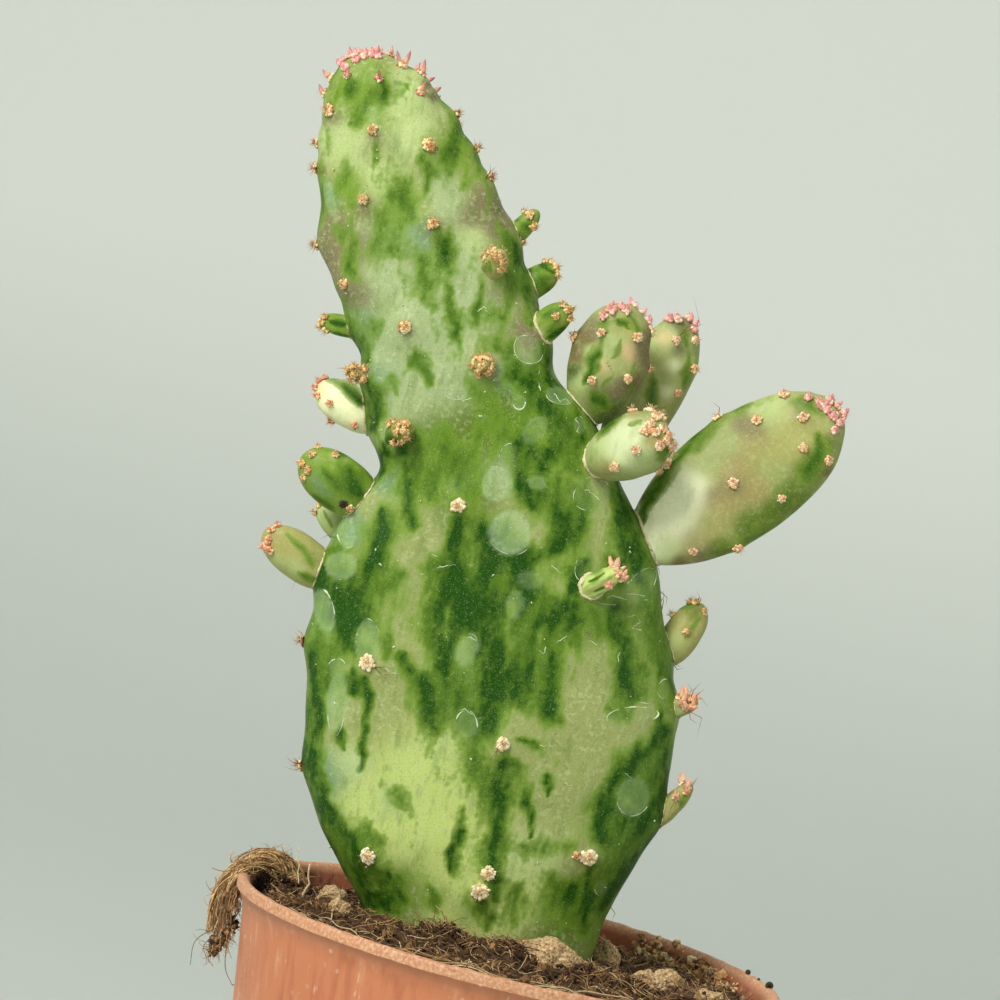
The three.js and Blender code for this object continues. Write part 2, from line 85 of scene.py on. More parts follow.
def sight_line(pixel):
    """The direction in which the camera sees a pixel."""
    aside, down = np.array(pixel) - PHOTO_WIDTH / 2
    line = looking * FOCAL_LENGTH_PIXELS + photo_right * aside - photo_up * down
    return line / np.linalg.norm(line)


def seen_at(pixel, axis, value):
    """The place at a pixel where x, y or z (axis 0, 1 or 2) has a value."""
    line = sight_line(pixel)
    return eye + line * ((value - eye[axis]) / line[axis])


# The studio: a pale grey-green sheet that lies flat under the pot and curves up into a wall all round,
# painted darker on the floor and paler up the wall as painted shade, a large soft light above the camera's
# left shoulder, a weaker one on the right, and even light from the open top.
FLOOR_RADIUS = 420
COVE_RADIUS = 900
WALL_TOP = 1500
FLOOR_RINGS = (5, 120, 252)
STAGE_SIDES = 96
COVE_STEPS = 24
SHADED_FLOOR_TINT = (195, 200, 195)
LIT_WALL_TINT = (228, 231, 225)
SKY_TINT = (0.97, 1.0, 0.96, 1)
SKY_STRENGTH = 0.42


def colour(red, green, blue):
    """A colour given as 0 to 255 the way screens show it, as the light that it stands for."""
    share = np.array([red, green, blue]) / 255
    light = np.where(share < 0.04045, share / 12.92, ((share + 0.055) / 1.055) ** 2.4)
    return (*(float(c) for c in light), 1.0)


class Wire:
    """A socket in a material. Operators on it add Math nodes, and node() adds any other kind of node."""

    def __init__(self, tree, socket=None):
        self.tree = tree
        self.socket = socket

    def node(self, kind, settings=None, inputs=None, output=0):
        made = self.tree.nodes.new(kind)
        for name, value in (settings or {}).items():
            setattr(made, name, value)
        for name, value in (inputs or {}).items():
            if isinstance(value, Wire):
                self.tree.links.new(value.socket, made.inputs[name])
            else:
                made.inputs[name].default_value = value
        return Wire(self.tree, made.outputs[output])

    def math(self, operation, first, second):
        return self.node("ShaderNodeMath", {"operation": operation}, {0: first, 1: second})

    def __add__(self, other):
        return self.math("ADD", self, other)

    def __radd__(self, other):
        return self.math("ADD", other, self)

    def __sub__(self, other):
        return self.math("SUBTRACT", self, other)

    def __rsub__(self, other):
        return self.math("SUBTRACT", other, self)

    def __mul__(self, other):
        return self.math("MULTIPLY", self, other)

    def __rmul__(self, other):
        return self.math("MULTIPLY", other, self)

    def feeds(self, socket):
        self.tree.links.new(self.socket, socket)


def palette(*tints):
    """The light that several colours stand for."""
    return np.array([colour(*tint)[:3] for tint in tints])


def new_material(name, roughness):
    """A material, its shader's sockets, and the object's own coordinates, which its patterns start from."""
    material = bpy.data.materials.new(name)
    material.use_nodes = True
    shader = material.node_tree.nodes["Principled BSDF"]
    shader.inputs["Roughness"].default_value = roughness
    at = Wire(material.node_tree).node("ShaderNodeTexCoord", output="Object")
    return material, shader.inputs, at


def grain(at, per_mm, detail=3.0, stretch=(1, 1, 1)):
    """Cloudy noise from 0 to 1 with so many lumps per millimetre, closer together along a stretched axis."""
    spread = at.node("ShaderNodeVectorMath", {"operation": "MULTIPLY"}, {0: at, 1: stretch})
    return at.node("ShaderNodeTexNoise", {}, {"Vector": spread, "Scale": per_mm / MM, "Detail": detail})


def between(value, low, high, to_low=0.0, to_high=1.0):
    """Turns a value smoothly from one number to another as it passes from low to high."""
    inputs = {"Value": value, "From Min": low, "From Max": high, "To Min": to_low, "To Max": to_high}
    return value.node("ShaderNodeMapRange", {"interpolation_type": "SMOOTHSTEP"}, inputs)


def blend(first, second, share):
    """The second colour laid over the first by a share."""
    wire = next(part for part in (first, second, share) if isinstance(part, Wire))
    return wire.node("ShaderNodeMix", {"data_type": "RGBA"}, {0: share, 6: first, 7: second}, output=2)


def add_mesh(name, points, faces, *materials, values=None, face_material=None, smooth=True):
    """An object from points in millimetres, with named values or colours of its points."""
    mesh = bpy.data.meshes.new(name)
    mesh.from_pydata((np.asarray(points) * MM).tolist(), [], [list(f) for f in faces])
    for key, array in (values or {}).items():
        array = np.asarray(array, float)
        if array.ndim == 1:
            mesh.attributes.new(key, "FLOAT", "POINT").data.foreach_set("value", array)
        else:
            rgba = np.concatenate([array[:, :3], np.ones((len(array), 1))], 1)
            mesh.attributes.new(key, "FLOAT_COLOR", "POINT").data.foreach_set("color", rgba.ravel())
    for material in materials:
        mesh.materials.append(material)
    if face_material is not None:
        mesh.polygons.foreach_set("material_index", face_material)
    mesh.polygons.foreach_set("use_smooth", [smooth] * len(mesh.polygons))
    mesh.validate()
    made = bpy.data.objects.new(name, mesh)
    bpy.context.scene.collection.objects.link(made)
    return made


def ring_faces(rings, sides):
    """Faces between rings of points that follow each other, each ring closed."""
    ring, side = np.mgrid[0 : rings - 1, 0:sides]
    low = ring * sides
    after = (side + 1) % sides
    corners = [low + side, low + after, low + sides + after, low + sides + side]
    return np.stack(corners, -1).reshape(-1, 4).tolist()


def full_turn(count):
    """Angles that share out a full turn."""
    return np.arange(count) / count * 2 * math.pi


def turned_profile(profile, sides):
    """Points and faces of a profile of [radius, height] that is turned round the Z axis."""
    rings = [[(r * math.cos(a), r * math.sin(a), z) for a in full_turn(sides)] for r, z in profile]
    return np.array(rings).reshape(-1, 3), ring_faces(len(profile), sides)


bends = np.linspace(0, math.pi / 2, COVE_STEPS)
cove = [(COVE_RADIUS * math.sin(a), COVE_RADIUS * (1 - math.cos(a))) for a in bends]
stage_profile = [(radius, 0) for radius in FLOOR_RINGS]
stage_profile += [(FLOOR_RADIUS + r, z) for r, z in cove] + [(FLOOR_RADIUS + COVE_RADIUS, WALL_TOP)]
stage_points, stage_faces = turned_profile(stage_profile, STAGE_SIDES)
stage_faces.append(list(range(STAGE_SIDES)))
paper, into, at = new_material("studio_paper", 0.9)
into["Specular IOR Level"].default_value = 0.1
height = at.node("ShaderNodeSeparateXYZ", {}, {"Vector": at}, output=2)
# The sheet's colour turns from a darker floor tint to a paler wall tint as it rises: painted shade low down,
# painted light higher up.
tone = between(height, -0.05, 0.2) + (grain(at, 0.003, 2) - 0.5) * 0.15
blend(colour(*SHADED_FLOOR_TINT), colour(*LIT_WALL_TINT), tone).feeds(into["Base Color"])
studio = add_mesh("studio_sheet", stage_points, stage_faces, paper)

world = bpy.data.worlds.new("studio_light")
bpy.context.scene.world = world
world.use_nodes = True
sky = world.node_tree.nodes["Background"].inputs
sky["Color"].default_value = SKY_TINT
sky["Strength"].default_value = SKY_STRENGTH


def soft_light(name, place, size, watts, tint, aim=(-0.005, 0, 0.09)):
    """A round soft light, with its place, its size and what it is aimed at in metres."""
    data = bpy.data.lights.new(name, "AREA")
    data.shape = "DISK"
    data.size = size
    data.energy = watts
    data.color = tint
    light = bpy.data.objects.new(name, data)
    light.location = Vector(place)
    light.rotation_euler = (Vector(aim) - light.location).to_track_quat("-Z", "Y").to_euler()
    bpy.context.scene.collection.objects.link(light)


soft_light("window", (-0.42, -0.5, 0.62), size=0.36, watts=6.6, tint=(1.0, 0.98, 0.93))
soft_light("fill", (0.62, -0.55, 0.25), size=0.5, watts=0.7, tint=(0.97, 1.0, 0.97))
soft_light("backdrop", (0, 0.45, 0.95), size=0.5, watts=2.2, tint=(0.98, 1.0, 0.97), aim=(0.1, 1.3, 0.25))
bpy.context.scene.view_settings.view_transform = "Standard"

# The pot: a thin-walled nursery pot, moulded in one piece in terracotta-brown plastic, with a plain lip that
# is scuffed pale, a faint mould seam and drain holes round its flat bottom.
_, pot_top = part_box("pot")
RIM_RADIUS = pot_top.x / MM
POT_HEIGHT = pot_top.z / MM
RIM_LIP_WIDTH = 1.0
RIM_LIP_HEIGHT = 1.25
LIP_OVERHANG = 0.95
LIP_FLARE = 2.0
LIP_STEP = 0.22
WALL = 1.0
WALL_SLOPE = math.tan(math.radians(7.3))
LIP_FOOT = POT_HEIGHT - RIM_LIP_HEIGHT
FOOT_ROUND = 0.8
DRAIN_HOLES = 6
DRAIN_RADIUS = 2.4
DRAIN_CIRCLE_RADIUS = 14
DRAIN_SIDES = 40
BOTTOM_RINGS = (DRAIN_CIRCLE_RADIUS - 6, DRAIN_CIRCLE_RADIUS + 5)
SEAM_ANGLE = math.radians(-106)
SEAM_HEIGHT = 0.12
SEAM_WIDTH = 0.45
POT_SIDES = 216


def outer_radius(z):
    return RIM_RADIUS - LIP_OVERHANG - (LIP_FOOT - z) * WALL_SLOPE


def inner_radius(z):
    return outer_radius(z) - WALL


def rounded(corner, before, after, radius, steps=5):
    """Points of a rounded corner in a profile."""
    corner, before, after = (np.array(p, float) for p in (corner, before, after))
    start = corner + (before - corner) / np.linalg.norm(before - corner) * radius
    end = corner + (after - corner) / np.linalg.norm(after - corner) * radius
    stops = np.linspace(0, 1, steps)
    return [tuple(start * (1 - t) ** 2 + corner * 2 * t * (1 - t) + end * t * t) for t in stops]


def lumps(points, size, seed=0):
    """Smooth noise from -1 to 1 in lumps of a size."""
    at = np.asarray(points, float) / size + 100
    low = np.floor(at).astype(np.int64)
    part = at - low
    part = part * part * (3 - 2 * part)
    total = np.zeros(at.shape[:-1])
    for corner in np.ndindex(2, 2, 2):
        cell = low + np.array(corner)
        mixed = (cell[..., 0] * 7349 + cell[..., 1] * 19349 + cell[..., 2] * 83497 + seed * 6151) & 0xFFFFFF
        mixed = ((mixed ^ (mixed >> 7)) * 48271) & 0xFFFFFF
        mixed = ((mixed ^ (mixed >> 11)) * 69621) & 0xFFFFFF
        weight = np.prod(np.where(np.array(corner), part, 1 - part), -1)
        total += weight * ((mixed >> 8) / 32767.5 - 1)
    return total


top_outer, top_inner = (RIM_RADIUS, POT_HEIGHT), (RIM_RADIUS - RIM_LIP_WIDTH, POT_HEIGHT)
lip_corner, lip_inside = (RIM_RADIUS, LIP_FOOT), (inner_radius(LIP_FOOT), LIP_FOOT)
lip_under = (RIM_RADIUS - LIP_STEP, LIP_FOOT)
foot_outer = (outer_radius(0), 0)
foot_inner = (inner_radius(WALL), WALL)
pot_profile = [(radius, 0) for radius in BOTTOM_RINGS]
pot_profile += rounded(foot_outer, (0, 0), (outer_radius(10), 10), FOOT_ROUND)
flare_foot = (outer_radius(LIP_FOOT - LIP_FLARE), LIP_FOOT - LIP_FLARE)
pot_profile += [(outer_radius(z), z) for z in np.linspace(4, LIP_FOOT - LIP_FLARE - 1, 22)]
pot_profile += rounded(flare_foot, (outer_radius(40), 40), lip_under, 0.8, 5) + [lip_under]
pot_profile += rounded(lip_corner, lip_under, top_outer, 0.1, 4)
pot_profile += rounded(top_outer, lip_corner, top_inner, 0.55, 6)
pot_profile += rounded(top_inner, top_outer, lip_inside, 0.4, 5)
pot_profile += [(inner_radius(z), z) for z in np.linspace(LIP_FOOT, 3, 14)]
pot_profile += rounded(foot_inner, (inner_radius(10), 10), (0, WALL), FOOT_ROUND)
pot_profile += [(radius, WALL) for radius in BOTTOM_RINGS[::-1]]
pot_points, pot_faces = turned_profile(pot_profile, POT_SIDES)
pot_faces.append(list(range(POT_SIDES))[::-1])
pot_faces.append(list(range(len(pot_points) - POT_SIDES, len(pot_points))))

pot_radius = np.hypot(pot_points[:, 0], pot_points[:, 1])
inside = ((pot_radius < inner_radius(pot_points[:, 2]) + 0.3) & (pot_points[:, 2] > 0.5)).astype(float)
outwards = pot_points * [1, 1, 0] / np.maximum(pot_radius, 1)[:, None]
warp = 0.16 * lumps(pot_points, 16, 3) + 0.05 * lumps(pot_points * [1, 1, 2.5], 5, 4)
high_up = np.clip(pot_points[:, 2] / POT_HEIGHT, 0, 1)
seam_aside = np.abs((np.arctan2(pot_points[:, 1], pot_points[:, 0]) - SEAM_ANGLE) * pot_radius)
seam = SEAM_HEIGHT * np.exp(-((seam_aside / SEAM_WIDTH) ** 2)) * (1 - inside)
seam *= (pot_points[:, 2] > 2) & (pot_points[:, 2] < LIP_FOOT)
nicks = 0.14 * lumps(pot_points, 1.1, 5) * (pot_points[:, 2] > LIP_FOOT)
pot_points = pot_points + outwards * (warp * high_up + seam + nicks * 0.5)[:, None]
pot_points[:, 2] += nicks * 0.6
warped_radius = np.maximum(np.hypot(*pot_points[:, :2].T), 1)
pot_points[:, :2] *= np.minimum(1, (RIM_RADIUS - 0.02) / warped_radius)[:, None]


def painted(at, key, output="Fac"):
    """A value that the mesh carries from point to point, or with the output Color a colour."""
    return at.node("ShaderNodeAttribute", {"attribute_name": key}, output=output)


def emboss(into, relief, strength, deep):
    """Gives a surface the relief of a pattern, so many millimetres deep."""
    inputs = {"Strength": strength, "Distance": deep * MM, "Height": relief}
    relief.node("ShaderNodeBump", {}, inputs).feeds(into["Normal"])


terracotta, into, at = new_material("terracotta_plastic", 0.45)
height = at.node("ShaderNodeSeparateXYZ", {}, {"Vector": at}, output=2) * (1 / MM)
cloud = grain(at, 0.09, 3)
drips = grain(at, 0.7, 4, (1, 1, 0.12))
fine = grain(at, 3.2, 3)
shell = blend(colour(192, 116, 80), colour(208, 138, 100), cloud)
shell = blend(shell, colour(174, 100, 70), between(drips, 0.5, 0.72, 0, 0.6))
shell = blend(shell, colour(222, 168, 136), between(drips, 0.46, 0.3, 0, 0.4))
within = painted(at, "inside")
lip = between(height, LIP_FOOT - 0.25, LIP_FOOT + 0.15)
shell = blend(shell, colour(202, 148, 112), lip * between(fine, 0.3, 0.62, 0.45, 0.95))
scuffs = lip * between(grain(at, 2.8, 5), 0.44, 0.66, 0, 0.6) * (1 - within * 0.8)
shell = blend(shell, colour(230, 192, 160), scuffs)
shell = blend(shell, colour(150, 98, 68), lip * between(grain(at, 1.7, 4), 0.57, 0.7, 0, 0.5))
# A paler band just under the lip: painted light that lifts the shade the lip casts on the wall.
painted_light_under_lip = between(height, LIP_FOOT - 1.6, LIP_FOOT - 0.1) * (1 - lip)
shell = blend(shell, colour(214, 150, 118), painted_light_under_lip * 0.5)
scrape = between(grain(at, 1.1, 5, (1, 1, 0.25)), 0.63, 0.7)
shell = blend(shell, colour(238, 202, 182), scrape * between(grain(at, 0.16, 2), 0.44, 0.6) * 0.7)
specks = at.node("ShaderNodeTexVoronoi", {}, {"Vector": at, "Scale": 0.42 / MM})
shell = blend(shell, colour(246, 230, 216), between(specks, 0.15, 0.08) * between(cloud, 0.45, 0.6, 0.1, 0.7))
# The pot's inside is painted a darker red-brown than its outside: painted shade in the pot's hollow.
shell = blend(shell, colour(158, 88, 60), within)
crust = between(grain(at, 0.7, 5), 0.52, 0.62) * within * between(height, 55.4, 53.8)
shell = blend(shell, colour(182, 150, 110), crust * 0.9)
dirt = between(grain(at, 0.55, 4), 0.55, 0.65) * within * between(height, 56, 52.5)
shell = blend(shell, colour(52, 36, 27), dirt)
# Towards the left the inside is painted nearly black and made rough: painted shadow under the coir hank.
leftwards = at.node("ShaderNodeSeparateXYZ", {}, {"Vector": at}) * (1 / MM)
painted_shadow_under_coir = between(leftwards, -23, -26) * within
shell = blend(shell, colour(30, 22, 15), painted_shadow_under_coir * 0.94)
shell.feeds(into["Base Color"])
dull = between(fine, 0.3, 0.7, 0.36, 0.52) + crust * 0.35 + lip * 0.08 + painted_shadow_under_coir * 0.5
dull.feeds(into["Roughness"])
emboss(into, drips * 0.4 + fine * 0.35 + crust * 1.6, 0.35, 0.12)
into["Specular IOR Level"].default_value = 0.3

pot = add_mesh("nursery_pot", pot_points, pot_faces, terracotta, values={"inside": inside})
drains = []
for angle in full_turn(DRAIN_HOLES):
    points, faces = turned_profile([(DRAIN_RADIUS, -1), (DRAIN_RADIUS, WALL + 1)], DRAIN_SIDES)
    points += [DRAIN_CIRCLE_RADIUS * math.cos(angle), DRAIN_CIRCLE_RADIUS * math.sin(angle), 0]
    faces += [list(range(DRAIN_SIDES))[::-1], list(range(DRAIN_SIDES, 2 * DRAIN_SIDES))]
    drain = add_mesh("drain", points, faces, terracotta)
    cut = pot.modifiers.new("drain", "BOOLEAN")
    cut.operation = "DIFFERENCE"
    cut.object = drain
    drains.append(drain)


def keep_modified(obj):
    """Makes what an object's modifiers do to it part of its mesh."""
    bpy.context.view_layer.update()
    solid = obj.evaluated_get(bpy.context.evaluated_depsgraph_get())
    mesh = bpy.data.meshes.new_from_object(solid)
    obj.modifiers.clear()
    obj.data = mesh


keep_modified(pot)
for drain in drains:
    bpy.data.objects.remove(drain)
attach(pot, "root")
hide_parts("pot")

# The stem: one old pad of water-filled flesh under a waxy skin, with a waist where it once stopped growing.
# It grew in one piece with its buds. Its green is drawn in streaks that run down from the areoles over cream.
STEM = [
    ((-3.6, 44.6), (-3.6, 44.6), 0.0), ((-8.5, 45.4), (1.6, 45.2), 2.8), ((-13.8, 49.4), (7.6, 49.0), 4.7),
    ((-17.4, 55.0), (9.7, 55.0), 5.7), ((-21.0, 59.2), (10.4, 60.4), 6.3),
    ((-25.0, 64.2), (12.0, 65.6), 6.7), ((-27.6, 70.0), (13.7, 72.0), 7.0),
    ((-29.8, 78.4), (13.7, 78.6), 7.1), ((-30.8, 87.0), (12.6, 86.4), 7.0),
    ((-31.0, 94.2), (9.8, 94.2), 6.8), ((-29.6, 100.0), (7.0, 101.0), 6.6),
    ((-27.2, 105.2), (2.9, 107.2), 6.4), ((-29.3, 109.8), (-1.2, 113.0), 6.2),
    ((-31.2, 114.2), (-5.2, 117.3), 6.1), ((-32.7, 118.6), (-10.0, 120.6), 5.9),
    ((-36.3, 123.6), (-11.8, 124.8), 5.7), ((-40.2, 129.8), (-15.1, 129.8), 5.3),
    ((-41.8, 137.2), (-18.7, 136.4), 4.8), ((-42.9, 144.4), (-24.8, 143.2), 4.2),
    ((-42.6, 148.6), (-29.8, 148.4), 3.4), ((-41.2, 150.9), (-33.4, 151.1), 2.3),
    ((-37.6, 152.2), (-37.6, 152.2), 0.0),
]
STEM_SQUARENESS = 2.35
STEM_RINGS = 330
STEM_SIDES = 288
TUBERCLE_HEIGHT = 0.75
TUBERCLE_REACH = 2.7

stations = np.array([(*left, *right, half) for left, right, half in STEM])


def along_stations(shares):
    """The smooth curve through the stations, from 0 at the foot to 1 at the tip."""
    padded = np.vstack([2 * stations[0] - stations[1], stations, 2 * stations[-1] - stations[-2]])
    place = np.clip(np.asarray(shares), 0, 1) * (len(stations) - 1)
    low = np.minimum(place.astype(int), len(stations) - 2)
    t = (place - low)[..., None]
    a, b, c, d = (padded[low + i] for i in range(4))
    pull_in, pull_out = (c - a) / 2, (d - b) / 2
    curve = 2 * b - 2 * c + pull_in + pull_out
    return b + pull_in * t + (3 * c - 3 * b - 2 * pull_in - pull_out) * t**2 + curve * t**3


def flatten(value, exponent):
    return np.sign(value) * np.abs(value) ** (2 / exponent)


def stem_surface(shares, angles):
    """Points of the smooth stem. Angle 0 is its right edge and -90 degrees the middle of its front."""
    at = along_stations(shares)
    left, right = at[..., 0:2], at[..., 2:4]
    flat = (left + right) / 2 + (right - left) / 2 * flatten(np.cos(angles), STEM_SQUARENESS)[..., None]
    depth = np.maximum(at[..., 4], 0) * flatten(np.sin(angles), STEM_SQUARENESS)
    return np.stack([flat[..., 0], depth, flat[..., 1]], -1)


def closed_skin(surface, shares, sides):
    """Points and faces of a skin that is closed at both ends. Also gives each point's share and angle."""
    share = np.repeat(shares[1:-1], sides)
    angle = np.tile(full_turn(sides), len(shares) - 2)
    share = np.concatenate([share, shares[[0, -1]]])
    angle = np.concatenate([angle, [0, 0]])
    rings = len(shares) - 2
    foot, tip = rings * sides, rings * sides + 1
    faces = ring_faces(rings, sides)
    faces += [[foot, (j + 1) % sides, j] for j in range(sides)]
    last = (rings - 1) * sides
    faces += [[tip, last + j, last + (j + 1) % sides] for j in range(sides)]
    return surface(share, angle), faces, share, angle


def outward_normals(points, faces):
    """The direction in which each point's surface faces."""
    normals = np.zeros_like(points)
    for count in (3, 4):
        some = np.array([f for f in faces if len(f) == count])
        if len(some):
            corner = points[some]
            face_normal = np.cross(corner[:, 2] - corner[:, 0], corner[:, -1] - corner[:, 1])
            for k in range(count):
                np.add.at(normals, some[:, k], face_normal)
    return normals / np.maximum(np.linalg.norm(normals, axis=1), 1e-9)[:, None]


stem_shares = np.linspace(0, 1, STEM_RINGS + 1)
stem_points, stem_faces, stem_share, stem_angle = closed_skin(stem_surface, stem_shares, STEM_SIDES)
stem_normals = outward_normals(stem_points, stem_faces)

# The stem's areoles by where the photograph shows them: old ones are cream cushions, grown ones have tan
# bristles, edge ones stand on the outline, and young and pink ones at the tip carry scale leaves.
OLD_AREOLES = [(459, 505), (369, 663), (503, 744), (371, 854), (587, 856), (488, 873), (481, 890)]
SMALL_AREOLES = [(575, 854)]
GROWN_AREOLES = [(333, 112), (374, 131), (428, 147), (365, 200), (433, 225), (348, 283), (407, 327)]
EDGE_AREOLES = [
    (455, 116), (474, 150), (486, 181), (316, 143), (321, 168), (312, 245), (303, 640), (298, 765),
]
YOUNG_AREOLES = [(324, 93), (331, 78), (389, 58), (401, 69), (350, 78), (379, 81), (419, 77), (419, 94)]
PINK_AREOLES = [
    (345, 66), (350, 61), (356, 58), (362, 56), (368, 55), (375, 55), (380, 58), (349, 71), (357, 65),
    (364, 62), (371, 61), (377, 62),
]
smooth_skin = BVHTree.FromPolygons(stem_points.tolist(), stem_faces)


def on_skin(tree, pixel, depth=0):
    """A skin's point, outward direction and face at a pixel, or nearest to it beside the outline."""
    place, normal, face, _ = tree.ray_cast(Vector(eye), Vector(sight_line(pixel)))
    if place is None:
        place, normal, face, _ = tree.find_nearest(Vector(seen_at(pixel, 1, depth)))
    return np.array(place), np.array(normal), face


def nearest_on(tree, point):
    """A skin's point nearest to a point, and its outward direction there."""
    place, normal, _, _ = tree.find_nearest(Vector(point))
    return np.array(place), np.array(normal)


def skin_place(face):
    """How far up the stem a face lies, and its angle."""
    ring, side = divmod(min(face, (STEM_RINGS - 2) * STEM_SIDES - 1), STEM_SIDES)
    angle = (side + 0.5) / STEM_SIDES * 2 * math.pi
    return stem_shares[ring + 1], angle - 2 * math.pi if angle > math.pi else angle


def on_back(pixel, higher=0.025):
    """The mirrored place on the stem's back, a little higher up."""
    share, angle = skin_place(on_skin(smooth_skin, pixel)[2])
    behind = stem_surface(np.array([min(share + higher, 0.975)]), np.array([math.pi - abs(angle)]))[0]
    return nearest_on(smooth_skin, behind)


stem_areoles = []
for kind, pixels, with_back in (
    ("old", OLD_AREOLES, True), ("grown", GROWN_AREOLES, True), ("edge", EDGE_AREOLES, False),
    ("young", YOUNG_AREOLES, False), ("pink", PINK_AREOLES, False), ("tuft", SMALL_AREOLES, False),
):
    for pixel in pixels:
        place, normal, _ = on_skin(smooth_skin, pixel)
        stem_areoles.append((kind, place, normal))
        if with_back:
            stem_areoles.append((kind, *on_back(pixel)))
for pixel in PINK_AREOLES[7:] + YOUNG_AREOLES[4:]:
    stem_areoles.append(("young", *on_back(pixel, 0.0)))

# Buds stand on low rises of their own, as the areoles do.
BUDS = {
    "right_1": ((-18.6, 0, 135.0), (-16.2, -0.4, 139.0), 2.5, 2.2),
    "right_2": ((-16.0, 0.4, 129.5), (-12.5, 0.8, 133.0), 3.6, 3.0),
    "right_3": ((-13.4, -1.8, 124.5), (-10.1, -4.0, 128.8), 3.7, 3.0),
    "right_4": ((10.6, 2.0, 91.8), (13.3, 2.8, 98.6), 4.4, 3.8),
    "right_5": ((11.8, -1.2, 85.8), (15.0, -1.8, 87.7), 2.6, 2.4),
    "right_6": ((13.8, -0.6, 73.0), (16.6, -1.0, 78.0), 2.4, 2.2),
    "left_1": ((-34.0, 0, 120.6), (-38.2, -0.4, 120.7), 2.5, 2.2),
    "left_2": ((-30.6, -2.4, 115.6), (-33.4, -4.0, 115.5), 1.7, 1.5),
    "left_3": ((-29.2, 1.0, 110.9), (-36.9, 1.4, 113.0), 5.2, 4.3),
    "left_4": ((-28.0, -1.0, 101.3), (-36.4, -2.6, 104.8), 6.5, 5.2),
    "left_5": ((-30.6, 0, 91.8), (-38.8, -0.6, 95.2), 5.4, 4.2),
    "left_6": ((-28.8, 3.4, 96.4), (-33.6, 4.8, 99.4), 3.2, 2.8),
    "face_1": ((-20.0, -4.3, 130.3), (-19.0, -6.9, 133.0), 2.7, 2.4),
    "face_2": ((-18.5, -4.9, 119.3), (-18.1, -7.6, 120.2), 2.2, 2.2),
    "face_3": ((-26.6, -3.4, 109.2), (-24.8, -7.6, 111.0), 2.7, 2.5),
    "face_4": ((-1.4, -5.2, 96.8), (2.6, -8.6, 100.6), 2.6, 2.4),
}
rises = np.array([place for _, place, _ in stem_areoles] + [b[0] for b in BUDS.values()])
nearness = np.zeros(len(stem_points))
for rise in rises:
    nearness = np.maximum(nearness, np.exp(-((stem_points - rise) ** 2).sum(1) / TUBERCLE_REACH**2))
slack = 0.3 * lumps(stem_points, 8, 11) + 0.12 * lumps(stem_points, 3.6, 12)
slack += 0.02 * lumps(stem_points, 1.2, 13)
above_soil = np.clip((stem_points[:, 2] - 50) / 4, 0, 1)
stem_points = stem_points + stem_normals * (TUBERCLE_HEIGHT * nearness + slack * above_soil)[:, None]
stem_skin_tree = BVHTree.FromPolygons(stem_points.tolist(), stem_faces)

